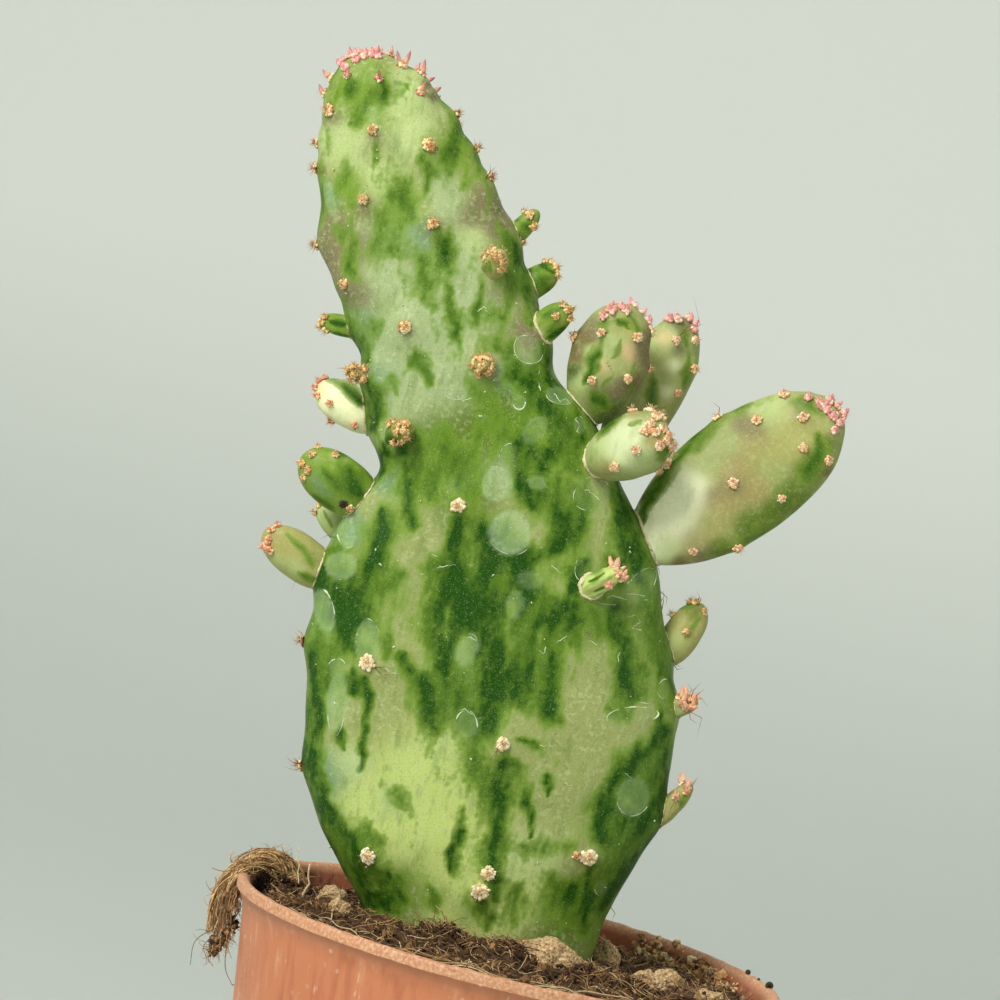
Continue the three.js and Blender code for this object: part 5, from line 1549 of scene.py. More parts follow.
def bristles(batch, roots, ways, lengths, thickness, tints):
    """Short stiff bristles, three-sided and straight, each in its own tint."""
    count = len(roots)
    side = unit(np.cross(ways, rng.standard_normal((count, 3))))
    third = np.cross(ways, side)
    points = np.empty((count, 4, 3))
    for k, turn in enumerate(full_turn(3)):
        points[:, k] = roots + (side * math.cos(turn) + third * math.sin(turn)) * thickness
    points[:, 3] = roots + ways * lengths[:, None]
    one = ([2, 1, 0], [0, 1, 3], [1, 2, 3], [2, 0, 3])
    faces = [[4 * n + i for i in face] for n in range(count) for face in one]
    batch.add(points.reshape(-1, 3), faces, np.repeat(tints, 4, axis=0), 1)


def any_of(tints):
    """One tint out of several, drawn by chance."""
    return tints[int(rng.integers(len(tints)))]


def many_of(tints, count, darkest, palest):
    """Tints for so many small bodies, each a little darker or paler."""
    return tints[rng.integers(len(tints), size=count)] * rng.uniform(darkest, palest, (count, 1))


def areole(batch, kind, place, normal, size=1.0):
    """One areole: its lumps of felt, its bristles and, if it is young, its leaf."""
    form = dict(zip(AREOLE_PARTS, AREOLE_KINDS[kind]))
    size *= rng.uniform(0.85, 1.15)
    across = unit(np.cross(normal, (0.3, 0.2, 1) if abs(normal[2]) < 0.9 else (1, 0, 0)))
    along = np.cross(normal, across)
    shades = palette(*form["tints"])
    first_turn = rng.uniform(0, 2 * math.pi)
    for k in range(form["lumps"]):
        far = form["radius"] * size * math.sqrt((k + 0.3) / form["lumps"]) * rng.uniform(0.85, 1.15)
        turn = first_turn + k * 2.4
        thick = rng.uniform(*form["bead"]) * size
        lift = form["high"] * size * (1 - (far / form["radius"] / size) ** 2 * 0.7)
        middle = place + (across * math.cos(turn) + along * math.sin(turn)) * far + normal * lift
        body = bead_points * thick * rng.uniform(0.8, 1.2, 3)
        body = body * (1 + 0.3 * lumps(bead_points, 0.7, int(rng.integers(1, 9999))))[:, None]
        tint = any_of(shades) * rng.uniform(0.85, 1.08)
        if kind == "old" and k < CENTRE_LUMPS:
            tint = palette(CENTRE_TINT)[0]
            middle = middle + normal * 0.04
        batch.add(body + middle, bead_faces, tint)
    way = unit(normal + UPWARDS * level_up) if kind != "old" else normal
    ways = scattered(way, form["spread"], form["hairs"])
    out = ways * form["radius"] * size * rng.uniform(0.3, 1, (len(ways), 1))
    roots = place + normal * form["high"] * size * 0.5 + out
    tints = many_of(shades, len(ways), 0.7, 1.1)
    bristles(batch, roots, ways, rng.uniform(*form["long"], len(ways)) * size, form["thin"], tints)
    leaf_tints, leaves, leaf_lengths = LEAFY_AREOLES.get(kind, NO_LEAVES)
    for _ in range(leaves):
        foot = place + normal * 0.15 + (across * rng.normal() + along * rng.normal()) * 0.2 * size
        way = unit(normal * 0.8 + level_up * 0.5 + 0.4 * rng.standard_normal(3))
        scale_leaf(batch, foot, way, rng.uniform(*leaf_lengths) * size, size, leaf_tints)


def scale_leaf(batch, place, way, long, size, tints):
    """A plump scale leaf that stands on an areole, bent a little upwards at its point."""
    side = unit(np.cross(way, (0.3, 0.9, 0.2)))
    bend = unit(level_up + 0.4 * side)
    third = np.cross(way, side)

    def leaf(shares, angles):
        wide = LEAF_WIDE * size * np.sin(np.clip(shares * 0.9 + 0.1, 0, 1) ** 0.8 * math.pi) ** 0.7
        spine = np.outer(shares * long, way) + np.outer(shares**2 * long * 0.3, bend)
        aside = np.outer(wide * np.cos(angles), side)
        return place + spine + aside + np.outer(0.8 * wide * np.sin(angles), third)

    points, faces, shares, _ = closed_skin(leaf, np.linspace(0, 1, LEAF_RINGS + 1), LEAF_SIDES)
    deep = np.clip(shares * 1.7 - 0.5, 0, 1)[:, None] * rng.uniform(0.6, 1)
    root_tint, end_tint = palette(*tints)
    batch.add(points, faces, (root_tint * (1 - deep) + end_tint * deep) * rng.uniform(0.85, 1.1), 2)


def felt_finish():
    """Matted wool in its own tint, painted darker in the gaps between its curls as painted shade."""
    material, into, at = new_material("areole_felt", 0.95)
    tint = painted(at, "tint", "Color")
    curls = grain(at, 5.5, 4)
    # The gaps between the curls, low in the relief, are painted darker: painted shade.
    blend(tint, colour(146, 102, 60), between(curls, 0.46, 0.3, 0, 0.45)).feeds(into["Base Color"])
    between(curls, 0.3, 0.7, 0.85, 1.0).feeds(into["Roughness"])
    emboss(into, curls, 0.8, 0.07)
    into["Sheen Weight"].default_value = 0.15
    return material


def bristle_finish():
    """Horny bristles, glossy where the light runs along them."""
    material, into, at = new_material("bristle", 0.45)
    tint = painted(at, "tint", "Color")
    patches = grain(at, 2.2, 2)
    blend(tint, colour(150, 96, 60), between(patches, 0.56, 0.76, 0, 0.4)).feeds(into["Base Color"])
    between(patches, 0.3, 0.7, 0.35, 0.55).feeds(into["Roughness"])
    return material


def leaf_finish():
    """Small fleshy leaves, pale pink at the foot and rose red at the end."""
    material, into, at = new_material("scale_leaf", 0.4)
    tint = painted(at, "tint", "Color")
    veins = grain(at, 3.4, 3, (1, 1, 0.3))
    skin = blend(tint, colour(255, 206, 190), between(veins, 0.52, 0.7, 0, 0.5))
    blend(skin, colour(206, 120, 110), between(veins, 0.46, 0.3, 0, 0.4)).feeds(into["Base Color"])
    between(veins, 0.3, 0.7, 0.3, 0.5).feeds(into["Roughness"])
    emboss(into, veins, 0.4, 0.04)
    into["Subsurface Weight"].default_value = 0.2
    into["Subsurface Radius"].default_value = (1.0, 0.4, 0.4)
    into["Subsurface Scale"].default_value = 0.0006
    return material


areole_finishes = [felt_finish(), bristle_finish(), leaf_finish()]
stem_areole_batch = Batch()
for kind, place, _ in stem_areoles:
    areole(stem_areole_batch, kind, *nearest_on(stem_skin_tree, place))
for name, bud in BUDS.items():
    shoot = shoots[name]
    depth = (bud[0][1] + bud[1][1]) / 2
    kind = "rosy" if name in ROSY_BUDS else "brush" if name in BRUSH_BUDS else "tuft"
    for pixel in BUD_TUFTS.get(name, ()):
        place, normal, _ = on_skin(shoot["tree"], pixel, depth)
        areole(stem_areole_batch, kind, place, normal, 0.95)
for share, count in TUFT_STOPS:
    for k in range(count):
        turn = 2 * math.pi * (k + share) / count
        near = shoots["left_2"]["surface"](np.array([share]), np.array([turn]))[0]
        areole(stem_areole_batch, "tuft", *nearest_on(shoots["left_2"]["tree"], near), 0.9)
place, normal, _ = on_skin(shoots["left_4"]["tree"], DARK_SCAR, BUDS["left_4"][1][1])
areole(stem_areole_batch, "scar", place, normal, 1.1)
for name, count in FURRY_BUDS.items():
    seats = shoots[name]["surface"](rng.uniform(FUR_FROM, 1, count), rng.uniform(0, 2 * math.pi, count))
    normals = np.array([shoots[name]["tree"].find_nearest(Vector(seat))[1] for seat in seats])
    ways = unit(normals + 0.5 * rng.standard_normal((count, 3)) + 0.3 * level_up)
    shades = palette(*AREOLE_KINDS["rosy" if name in ROSY_BUDS else "tuft"][-1])
    tints = many_of(shades, count, 0.6, 1.05)
    bristles(stem_areole_batch, seats, ways, rng.uniform(0.3, 0.65, count), 0.05, tints)
every_tree = [stem_skin_tree] + [shoot["tree"] for shoot in shoots.values()]
for root_pixel, end_pixel in SPINES:
    line = sight_line(root_pixel)
    middle = Vector(eye + line * (CAMERA_DISTANCE + 0.5))
    hits = [tree.ray_cast(Vector(eye), Vector(line)) for tree in every_tree]
    hits = [hit for hit in hits if hit[0] is not None] or [tree.find_nearest(middle) for tree in every_tree]
    near = min(hits, key=lambda hit: (hit[0] - Vector(eye)).length if hit[3] > 100 else hit[3])
    root = np.array(near[0])
    end_line = sight_line(end_pixel)
    end = eye + end_line * ((root - eye) @ looking / (end_line @ looking)) - looking * 0.25
    ways = unit(end - root)[None]
    length = np.array([np.linalg.norm(end - root)])
    needles(stem_areole_batch, (root - ways[0] * 0.2)[None], ways, length + 0.2, SPINE_THICK,
            colour(150, 104, 72), colour(92, 66, 50), 1)
stem_areole_piece = stem_areole_batch.build("stem_areoles", *areole_finishes)

# The front pad's young areoles have lost their leaves.
PAD_AREOLE_SIZE = 0.86
YOUNG_PAD_SIZE = 0.95
for name in PADS:
    batch = Batch()
    for kind, place, _ in shoots[name]["areoles"]:
        look = "pink" if kind == "young" and name != "pad_right_front" else "soft"
        size = YOUNG_PAD_SIZE if kind == "young" else PAD_AREOLE_SIZE
        areole(batch, look, *nearest_on(shoots[name]["tree"], place), size)
    piece = batch.build(name + "_areoles", *areole_finishes)

# The soil: dark peat with straw in it, pressed down round the stem's foot. It fills the pot up to its lip,
# and its top is loose: lumps of peat, grit and dry stalks lie on it.
SOIL_FLOOR = 1.3
SOIL_GAP = 0.3
SOIL_LEVEL = 53.9
SOIL_SLOPE = 0.036
SOIL_RINGS = 92
SOIL_SIDES = 300
SOIL_EDGE_DROP = 1.6
FINE_CRUMBS = 2500
COARSE_CRUMBS = 330
SOIL_FIBRES = 4200
STRAWS = 270
RIM_FIBRES = 60
RIM_FIBRE_POINTS = 22
PEAT_TINTS = palette((92, 66, 42), (60, 43, 29), (134, 98, 62), (166, 128, 84), (112, 82, 54))
FIBRE_TINTS = palette(
    (80, 56, 36), (106, 76, 48), (134, 98, 62), (162, 122, 80), (192, 150, 100), (216, 180, 128)
)
STRAW_TINTS = palette((206, 176, 130), (178, 140, 92), (150, 112, 72), (224, 200, 160), (116, 82, 52))
# Loose heaps of darker peat, four at the stem's foot and one under the coir: x, y, height and reach.
# The one under the coir is partly real peat and partly a dark heap put there to paint the shade under the
# hank.
HEAPS = [
    (-7.5, -11.5, 1.6, 3.0), (0.2, -11.8, 1.8, 2.6), (8.8, -16.5, 1.3, 3.0), (15.0, -13.5, 1.0, 3.0),
    (-28.0, 3.8, 1.7, 1.8),
]
HEAP_CRUMBS = 90
HEAP_FIBRES = 170


def soil_top(x, y):
    """The height of the soil's top, as it lies under its loose lumps."""
    heap = 0.9 * np.exp(-((x + 4) ** 2 / 260 + y**2 / 150))
    for middle_x, middle_y, high, reach in HEAPS:
        heap = heap + high * np.exp(-((x - middle_x) ** 2 + (y - middle_y) ** 2) / reach**2)
    waves = 0.42 * np.sin(0.62 * x + 1.3) * np.cos(0.55 * y)
    waves = waves + 0.26 * np.sin(1.31 * x - 0.9 * y) - 0.2 * np.cos(1.7 * y)
    return SOIL_LEVEL - SOIL_SLOPE * y + heap + waves


def on_soil(x, y):
    """The height of the finished soil, which drops towards the pot's wall."""
    share = np.hypot(x, y) / (inner_radius(53) - SOIL_GAP)
    flat = np.stack([x, y, np.zeros_like(x)], -1)
    rough = 0.5 * lumps(flat, 2.3, 81) + 0.32 * lumps(flat, 1.1, 82) + 0.16 * lumps(flat, 0.5, 83)
    return soil_top(x, y) + rough - SOIL_EDGE_DROP * np.clip((share - 0.9) / 0.1, 0, 1) ** 2


def peat_finish(name, flat_tint):
    """Peat: dark, dull and fibrous, in the tint of each lump."""
    material, into, at = new_material(name, 0.95)
    tint = flat_tint or painted(at, "tint", "Color")
    fibre = grain(at, 1.6, 5)
    fine = grain(at, 6, 3)
    earth = blend(tint, colour(26, 19, 15), between(fibre, 0.52, 0.36, 0, 0.8))
    earth = blend(earth, colour(128, 96, 66), between(fine, 0.56, 0.74, 0, 0.6))
    earth.feeds(into["Base Color"])
    between(fine, 0.3, 0.7, 0.8, 1.0).feeds(into["Roughness"])
    emboss(into, fibre + fine * 0.5, 0.9, 0.25)
    into["Specular IOR Level"].default_value = 0.25
    return material


soil_radius = inner_radius(54) - SOIL_GAP
soil_profile = [(share * soil_radius, SOIL_LEVEL) for share in np.linspace(0.02, 0.995, SOIL_RINGS)]
soil_profile += [(inner_radius(z) - SOIL_GAP, z) for z in (50, 40, 30, 20, 10, SOIL_FLOOR)]
soil_profile += [(2, SOIL_FLOOR)]
soil_points, soil_faces = turned_profile(soil_profile, SOIL_SIDES)
top_count = SOIL_RINGS * SOIL_SIDES
soil_points[:top_count, 2] = on_soil(soil_points[:top_count, 0], soil_points[:top_count, 1])
soil_faces = [face[::-1] for face in soil_faces]
lowest_ring = range(len(soil_points) - SOIL_SIDES, len(soil_points))
soil_faces += [list(range(SOIL_SIDES)), list(lowest_ring)[::-1]]
soil = add_mesh("peat", soil_points, soil_faces, peat_finish("peat", colour(84, 61, 43)))
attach(soil, "root")
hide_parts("soil")

coarse_ball, fine_ball = ball(1), ball(2)


def free_places(count, reach=1.0):
    """Places on the soil at random, outside the stem."""
    radius = soil_radius * reach * np.sqrt(rng.uniform(0, 1, 2 * count))
    turn = rng.uniform(0, 2 * math.pi, 2 * count)
    x, y = radius * np.cos(turn), radius * np.sin(turn)
    free = np.flatnonzero(((x + 1) / 7.5) ** 2 + (y / 4.0) ** 2 > 1)[:count]
    return np.stack([x[free], y[free], on_soil(x[free], y[free])], -1)


def heap_places(count):
    """Places on the loose heaps at random."""
    places = []
    for x, y, _, reach in HEAPS:
        flat = np.array([x, y]) + 0.6 * reach * rng.standard_normal((count, 2))
        flat *= np.minimum(1, (soil_radius - 0.6) / np.hypot(*flat.T))[:, None]
        places.append(np.stack([*flat.T, on_soil(*flat.T)], -1))
    return np.concatenate(places)


def crumb(batch, place, size, tint, shape=coarse_ball):
    """One lump of peat or grit, knobbly and never round."""
    points, faces = shape
    body = points * size * rng.uniform(0.6, 1.2, 3)
    body = body * (1 + 0.45 * lumps(points, 0.55, int(rng.integers(1, 9999))))[:, None]
    batch.add(body + place, faces, tint * rng.uniform(0.75, 1.1))


def fibres(batch, starts, ways, lengths, radii, tints):
    """Short bent fibres, three-sided, that grow thinner towards their ends."""
    count = len(starts)
    side = unit(np.cross(ways, rng.standard_normal((count, 3))))
    third = np.cross(ways, side)
    curl = rng.normal(0, 0.13, (count, 2)) * lengths[:, None]
    points = np.empty((count, 4, 3, 3))
    for ring, share in enumerate((0, 0.35, 0.7, 1)):
        bow = math.sin(share * math.pi)
        middle = starts + ways * (lengths * share)[:, None] + (side * curl[:, :1] + third * curl[:, 1:]) * bow
        for k, turn in enumerate(full_turn(3)):
            out = side * math.cos(turn) + third * math.sin(turn)
            points[:, ring, k] = middle + out * (radii * (1 - 0.5 * share))[:, None]
    one = ring_faces(4, 3) + [[2, 1, 0], [9, 10, 11]]
    faces = [[12 * n + i for i in face] for n in range(count) for face in one]
    batch.add(points.reshape(-1, 3), faces, np.repeat(tints, 12, axis=0))


crumbs = Batch()
for place in free_places(FINE_CRUMBS, 0.99):
    size = 0.12 + 0.36 * rng.uniform() ** 2
    crumb(crumbs, place + (0, 0, size * 0.3), size, any_of(PEAT_TINTS))
for place in free_places(COARSE_CRUMBS, 0.98):
    size = 0.25 + 0.55 * rng.uniform() ** 3
    crumb(crumbs, place + (0, 0, size * 0.2), size, any_of(PEAT_TINTS[:3]), fine_ball)
for place in heap_places(HEAP_CRUMBS):
    size = 0.14 + 0.4 * rng.uniform() ** 2
    crumb(crumbs, place + (0, 0, rng.uniform(0, 0.6)), size, any_of(PEAT_TINTS[:2]))
# A few dark grains stick to the far side of the rim, and lumps of dried soil to the wall under it.
RIM_GRAINS = [((770, 976), 0.34), ((785, 989), 0.5), ((778, 983), 0.18)]
WALL_LUMPS = [
    (654, 954), (662, 959), (670, 965), (679, 962), (684, 971), (692, 968), (698, 975), (705, 972),
    (711, 979), (719, 979), (724, 986), (732, 991), (676, 975), (716, 988), (644, 948), (692, 979),
    (702, 984),
]
WALL_TINTS = palette((255, 212, 156), (240, 184, 130), (190, 138, 96), (255, 228, 180))
RIM_GRAIN_TINT = colour(62, 62, 50)
LUMP_CRUMBS = 22
for pixel, size in RIM_GRAINS:
    place = seen_at(pixel, 2, POT_HEIGHT + size * 0.5)
    place[:2] *= (RIM_RADIUS - 0.5) / np.hypot(*place[:2])
    crumbs.add(fine_ball[0] * size + place, fine_ball[1], RIM_GRAIN_TINT)
for pixel in WALL_LUMPS:
    line = sight_line(pixel)
    ways_in = [eye + line * far for far in np.arange(CAMERA_DISTANCE, CAMERA_DISTANCE + 50, 0.1)]
    seat = next(place for place in ways_in if np.hypot(*place[:2]) > inner_radius(place[2]))
    for _ in range(LUMP_CRUMBS):
        size = 0.18 + 0.42 * rng.uniform() ** 2
        place = seat + 0.7 * rng.standard_normal(3)
        place[:2] *= (inner_radius(place[2]) - 0.1 * size) / np.hypot(*place[:2])
        crumb(crumbs, place, size, any_of(WALL_TINTS), fine_ball)
soil_crumbs = crumbs.build("soil_crumbs", peat_finish("peat_crumb", None), smooth=False)


def stalk(start, way, length, radius, lift=0.0):
    """The middle line of a dry stalk that lies on the soil, following it and curling a little."""
    steps = np.linspace(0, 1, 9)
    across = np.array([-way[1], way[0], 0])
    curl = rng.normal(0, 0.1) * length
    line = np.array(start) + np.outer(steps * length, way) + np.outer(np.sin(steps * math.pi) * curl, across)
    ground = on_soil(line[:, 0], line[:, 1])
    line[:, 2] = ground + radius + 0.12 + lift * steps
    line[:, 2] = (line[:, 2] + np.roll(line[:, 2], 1) + np.roll(line[:, 2], -1)) / 3
    line[0, 2], line[-1, 2] = ground[0], ground[-1] + 0.1 + lift
    return line


straws = Batch()
bed = np.concatenate([free_places(SOIL_FIBRES, 0.96), heap_places(HEAP_FIBRES)])
turns = rng.uniform(0, 2 * math.pi, len(bed))
rising = rng.normal(0.12, 0.32, len(bed)) + 0.3 * (np.arange(len(bed)) >= SOIL_FIBRES)
ways = unit(np.stack([np.cos(turns), np.sin(turns), rising], -1))
lengths = 0.7 + 2.4 * rng.uniform(0, 1, len(bed)) ** 2
far = np.hypot(*(bed + ways * lengths[:, None])[:, :2].T)
ways[far > soil_radius - 0.2, :2] *= -1
choice = (len(FIBRE_TINTS) * rng.uniform(0, 1, len(bed)) ** 0.95).astype(int)
choice = np.minimum(choice, len(FIBRE_TINTS) - 1)
tints = FIBRE_TINTS[choice] * rng.uniform(0.8, 1.1, (len(bed), 1))
fibres(straws, bed + (0, 0, 0.15), ways, lengths, rng.uniform(0.03, 0.09, len(bed)), tints)
for number, place in enumerate(free_places(STRAWS, 0.93)):
    turn = rng.uniform(0, 2 * math.pi)
    way = np.array([math.cos(turn), math.sin(turn), 0])
    radius = rng.uniform(0.04, 0.1)
    line = stalk(place, way, rng.uniform(1.2, 5.5), radius, max(0, rng.normal(0, 0.6)))
    from_middle = np.maximum(np.hypot(line[:, 0], line[:, 1]), 1)
    line[:, :2] *= np.minimum(1, (soil_radius - 0.3) / from_middle)[:, None]
    radii = radius * (1 + 0.3 * lumps(line, 0.8, number)) * np.linspace(1, 0.6, 9)
    straws.add(*tube(line, radii, 5), any_of(STRAW_TINTS))
for number in range(RIM_FIBRES):
    start = math.radians(rng.uniform(190, 300))
    sweep = np.linspace(start, start + math.radians(rng.uniform(14, 50)), RIM_FIBRE_POINTS)
    radius = soil_radius - rng.uniform(0.3, 3.6) + 0.35 * np.sin(sweep * rng.uniform(2, 5) + number)
    line = np.stack([radius * np.cos(sweep), radius * np.sin(sweep), np.zeros(RIM_FIBRE_POINTS)], -1)
    line[:, 2] = on_soil(line[:, 0], line[:, 1]) + 0.25 + rng.uniform(0, 0.5)
    line[:, 2] = np.convolve(np.pad(line[:, 2], 2, "edge"), np.full(5, 0.2), "valid")
    line[[0, -1], 2] -= 0.3
    thin = rng.uniform(0.035, 0.08)
    radii = thin * np.sqrt(np.sin(np.linspace(0.2, math.pi - 0.2, RIM_FIBRE_POINTS)))
    straws.add(*tube(line, radii, 5), STRAW_TINTS[number % 4])
STANDING_STRAWS = [
    ((310, 865), (303, 900), 0.16), ((299, 848), (297, 884), 0.07), ((306, 897), (300, 890), 0.17),
]
for top_pixel, foot_pixel, radius in STANDING_STRAWS:
    line = sight_line(foot_pixel)
    foot = eye + line * (CAMERA_DISTANCE * 1.02)
    for _ in range(4):
        ground = float(on_soil(foot[:1], foot[1:2])[0])
        foot = seen_at(foot_pixel, 2, ground)
        foot = foot if np.hypot(*foot[:2]) < soil_radius else eye + line * (CAMERA_DISTANCE - 14)
    way = sight_line(top_pixel)
    top = eye + way * ((foot - eye) @ looking / (way @ looking))
    steps = np.linspace(0, 1, 7)[:, None]
    line = foot * (1 - steps) + top * steps + 0.12 * rng.standard_normal((7, 3))
    points, faces = tube(line, np.linspace(radius, radius * 0.7, 7), 6)
    straws.add(points, faces, STRAW_TINTS[3])
straw_finish = corky("dry_straw", colour(120, 84, 50), 0.75)
soil_straws = straws.build("soil_straws", straw_finish)

# The chips: a few pale pieces of porous stone and bark, angular and pitted, that lie loose in the top of the
# soil.
CHIPS = [
    ((4.9, -10.2, 56.0), (4.1, 2.4, 2.9), 15), ((12.0, 3.8, 54.8), (1.7, 1.4, 2.3), 60),
    ((16.8, -7.4, 54.9), (2.4, 1.7, 1.7), -20), ((19.4, 0.6, 54.3), (2.0, 1.5, 1.9), 40),
    ((24.4, -2.0, 53.9), (2.2, 1.7, 1.4), 80), ((-21.2, 3.6, 54.6), (2.0, 1.4, 1.3), 10),
    ((-19.9, -3.8, 54.9), (1.5, 1.2, 1.1), -50),
]
CHIP_DETAIL = 5
CHIP_FACETS = 16
# The first chip has a ridge like a roof's, with its top left of the middle.
ROOF_CUTS = [(0.56, 0.0, 0.83), (-0.5, 0.0, 0.87)]
ROOF_DEPTHS = (0.62, 0.72)


def chip_finish():
    """Porous stone: pale tan with dark pits and chalky high spots."""
    material, into, at = new_material("porous_stone", 0.92)
    broad = grain(at, 0.5, 4)
    fine = grain(at, 3.4, 4)
    pits = at.node("ShaderNodeTexVoronoi", {}, {"Vector": at, "Scale": 1.9 / MM})
    stone = blend(colour(182, 150, 104), colour(216, 190, 146), broad)
    stone = blend(stone, colour(160, 118, 76), between(fine, 0.54, 0.4, 0, 0.85))
    stone = blend(stone, colour(240, 220, 180), between(fine, 0.56, 0.7, 0, 0.8))
    stone = blend(stone, colour(112, 78, 50), between(pits, 0.24, 0.1, 0, 0.85))
    stone = blend(stone, colour(84, 60, 42), between(grain(at, 1.1, 4), 0.6, 0.7, 0, 0.7))
    stone.feeds(into["Base Color"])
    between(fine, 0.3, 0.7, 0.85, 1.0).feeds(into["Roughness"])
    emboss(into, fine + broad * 0.6 - between(pits, 0.3, 0.05), 0.9, 0.2)
    return material


stone_ways, stone_faces = ball(CHIP_DETAIL)
stone_finish = chip_finish()
for number, (place, half, turn) in enumerate(CHIPS, 1):
    cuts = unit(rng.standard_normal((CHIP_FACETS, 3)))
    depths = rng.uniform(0.78, 1.0, CHIP_FACETS)
    if number == 1:
        cuts[:2], depths[:2] = ROOF_CUTS, ROOF_DEPTHS
    reach = np.min(depths / np.maximum(stone_ways @ cuts.T, 0.05), axis=1)
    body = stone_ways * np.minimum(reach, 1.12)[:, None] * np.array(half)
    pitted = 0.2 * lumps(body, 1.4, number) + 0.16 * lumps(body, 0.6, 20 + number)
    pitted -= 0.3 * np.clip(lumps(body, 0.42, 40 + number) - 0.15, 0, 1)
    body = body + outward_normals(body, stone_faces) * pitted[:, None]
    turn = math.radians(turn)
    spin = np.array([[math.cos(turn), -math.sin(turn), 0], [math.sin(turn), math.cos(turn), 0], [0, 0, 1]])
    chip = add_mesh(f"pale_chip_{number}", body @ spin.T + place, stone_faces, stone_finish)
    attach(chip, "root")
    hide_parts(f"chip_{number}")

# The coir: a twisted hank of coconut fibre that hangs over the rim on the left, with its ends frayed and bits
# of soil caught in it.

# Its bundles: how thick each is at the rim, and its middle line as the photograph shows it, from the soil
# over the rim to the frayed end, in pixels and with how far back it lies in millimetres.
COIR_BUNDLES = [
    (
        0.8,
        [
            (296, 896, 5.5), (292, 877, 5.2), (282, 864, 5.0), (267, 859, 4.6), (252, 861, 4.2),
            (238, 871, 3.6), (226, 887, 3.0), (219, 906, 2.8), (217, 930, 2.8), (220, 949, 2.8),
        ],
    ),
    (
        0.7,
        [
            (292, 894, 5.5), (287, 878, 5.0), (276, 867, 4.2), (262, 863, 3.0), (249, 866, 2.0),
            (238, 877, 1.2), (230, 892, 1.0), (225, 910, 1.0), (224, 930, 1.0), (224, 947, 1.0),
        ],
    ),
    (
        0.62,
        [
            (289, 894, 5.0), (282, 876, 4.4), (271, 868, 3.0), (258, 866, 1.0), (248, 869, -0.8),
            (237, 881, -1.4), (232, 896, -1.4), (231, 910, -1.4),
        ],
    ),
    (
        0.75,
        [
            (299, 896, 7.5), (294, 872, 7.4), (283, 860, 7.2), (268, 856, 7.0), (253, 857, 6.6),
            (237, 868, 6.0), (223, 886, 5.4), (217, 908, 5.0), (216, 934, 5.0),
        ],
    ),
    (
        0.66,
        [
            (285, 894, 6.0), (275, 874, 5.0), (262, 867, 3.6), (251, 865, 1.6), (244, 873, -0.2),
            (237, 888, -0.6), (228, 900, -0.6), (234, 908, -0.8), (229, 920, -0.8),
        ],
    ),
    (
        0.6,
        [
            (288, 876, 4.6), (278, 861, 4.0), (265, 857, 3.4), (256, 862, 2.8), (264, 868, 3.6),
            (277, 870, 4.6),
        ],
    ),
]
COIR_STRANDS = 56
COIR_YARNS = 8
COIR_FUZZ = 110
COIR_BACK = 2.0
CLUMP_CRUMBS = 26
CLUMP_FIBRES = 30
COIR_POINTS = 26
COIR_TINTS = palette((222, 180, 124), (190, 146, 96), (236, 204, 148), (140, 102, 64), (200, 156, 102))
# Lumps of soil that are caught in the fibres: x, y and size.
COIR_CLUMPS = [(217, 943, 1.1), (233, 926, 1.0), (225, 936, 0.6), (212, 950, 0.6), (230, 901, 0.6)]


def smooth_line(points, shares):
    """Places along a smooth curve through points, from 0 to 1."""
    points = np.array(points, float)
    padded = np.vstack([2 * points[0] - points[1], points, 2 * points[-1] - points[-2]])
    place = np.clip(shares, 0, 1) * (len(points) - 1)
    low = np.minimum(place.astype(int), len(points) - 2)
    t = (place - low)[:, None]
    a, b, c, d = (padded[low + i] for i in range(4))
    return 0.5 * (2 * b + (c - a) * t + (2 * a - 5 * b + 4 * c - d) * t**2 + (3 * b - a - 3 * c + d) * t**3)


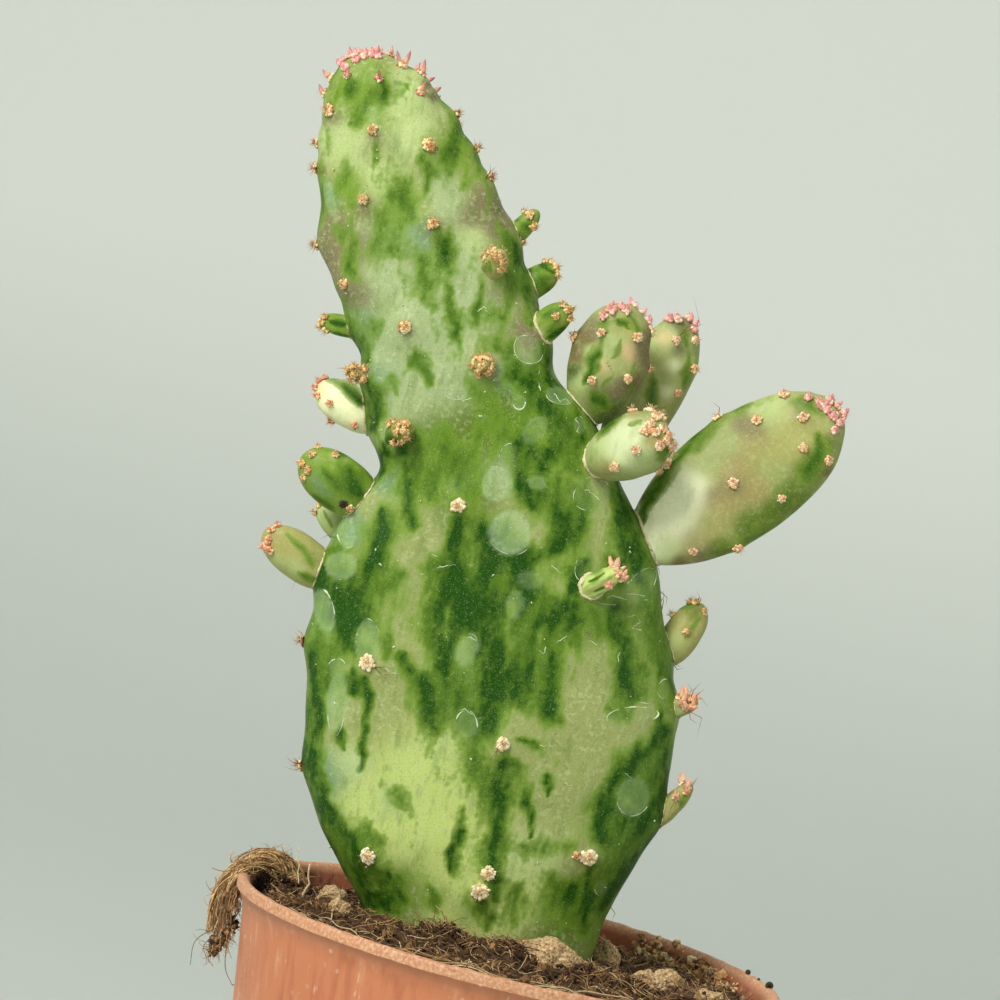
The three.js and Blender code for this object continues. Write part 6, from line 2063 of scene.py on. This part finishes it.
coir = Batch()
for bundle, (thick, stops) in enumerate(COIR_BUNDLES):
    middle_line = [seen_at((x, y), 1, back) for x, y, back in stops]
    end = rng.uniform(0.9, 1.0)
    yarn_turns = rng.uniform(0, 2 * math.pi, COIR_YARNS)
    yarn_twists = rng.uniform(1, 6, COIR_YARNS)
    yarn_shades = rng.uniform(0.4, 1.35, COIR_YARNS)
    for strand in range(COIR_STRANDS):
        yarn = strand % COIR_YARNS
        first, last = max(0, rng.normal(0.02, 0.04)), min(1.0, end + rng.normal(-0.03, 0.06))
        shares = np.linspace(first, last, COIR_POINTS)
        line = smooth_line(middle_line, shares)
        ahead = unit(np.gradient(line, axis=0))
        outwards = np.cross(looking, ahead)
        loose = 1 + 0.2 * np.clip((shares - 0.55) / 0.45, 0, 1)
        apart = thick * loose * math.sqrt(rng.uniform(0.25, 1)) * rng.choice([1, 1, 1, 1.3])
        twist = yarn_turns[yarn] + yarn_twists[yarn] * shares + rng.normal(0, 0.3)
        phase = rng.uniform(0, 20)
        shifted = line + phase
        aside = apart * np.cos(twist) + 0.3 * lumps(shifted, 1.4, bundle) + 0.14 * lumps(shifted, 0.6, 50)
        away = 1.3 * apart * np.sin(twist) + 0.3 * lumps(shifted, 1.4, 20 + bundle)
        line = line + outwards * aside[:, None] + looking * away[:, None]
        thin = rng.uniform(0.05, 0.13)
        tint = COIR_TINTS[(bundle + strand) % len(COIR_TINTS)] * yarn_shades[yarn] * rng.uniform(0.75, 1.1)
        coir.add(*tube(line, thin * np.linspace(1, 0.6, COIR_POINTS), 4), tint)
    # Short ends of fibre stand out of each bundle.
    shares = rng.uniform(0.05, 0.98, COIR_FUZZ)
    line = smooth_line(middle_line, shares)
    ahead = unit(smooth_line(middle_line, np.minimum(shares + 0.02, 1)) - line + 1e-6)
    off = rng.standard_normal((COIR_FUZZ, 3))
    off = unit(off - ahead * (off * ahead).sum(1)[:, None])
    ways = unit(ahead * rng.choice([-0.6, 1], (COIR_FUZZ, 1)) + off * rng.uniform(0.2, 0.9, (COIR_FUZZ, 1)))
    tints = COIR_TINTS[rng.integers(len(COIR_TINTS), size=COIR_FUZZ)]
    lengths, radii = rng.uniform(0.6, 1.9, COIR_FUZZ), rng.uniform(0.03, 0.06, COIR_FUZZ)
    fibres(coir, line + off * thick * 0.95, ways, lengths, radii, tints)
LOOSE_HAIRS = [
    ((222, 925), (196, 940), (190, 965)), ((230, 925), (225, 965), (232, 985)),
    ((238, 880), (241, 895), (240, 912)), ((232, 985), (238, 984), (246, 982)),
    ((236, 870), (222, 871), (212, 868)), ((215, 950), (208, 958), (213, 966)),
    ((242, 880), (244, 892), (243, 905)), ((216, 935), (204, 945), (206, 957)),
]
for pixels in LOOSE_HAIRS:
    line = smooth_line([(x, y, 0) for x, y in pixels], np.linspace(0, 1, 16))[:, :2]
    places = [seen_at(pixel, 1, COIR_BACK) for pixel in line]
    points, faces = tube(places, np.linspace(0.07, 0.035, 16), 5)
    coir.add(points, faces, COIR_TINTS[3])
for x, y, size in COIR_CLUMPS:
    middle = seen_at((x, y), 1, COIR_BACK - 1)
    for _ in range(CLUMP_CRUMBS):
        crumb(coir, middle + 0.45 * size * rng.standard_normal(3), 0.3 * size, any_of(PEAT_TINTS))
    starts = middle + 0.5 * size * rng.standard_normal((CLUMP_FIBRES, 3))
    ways = unit(rng.standard_normal((CLUMP_FIBRES, 3)) - level_up)
    tints = COIR_TINTS[rng.integers(len(COIR_TINTS), size=CLUMP_FIBRES)] * 0.8
    lengths, radii = rng.uniform(0.6, 2.0, CLUMP_FIBRES), rng.uniform(0.03, 0.07, CLUMP_FIBRES)
    fibres(coir, starts, ways, lengths, radii, tints)
coir_finish = corky("coconut_fibre", colour(84, 58, 36), 0.8)
coir_hank = coir.build("coir_hank", coir_finish)
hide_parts("coir")
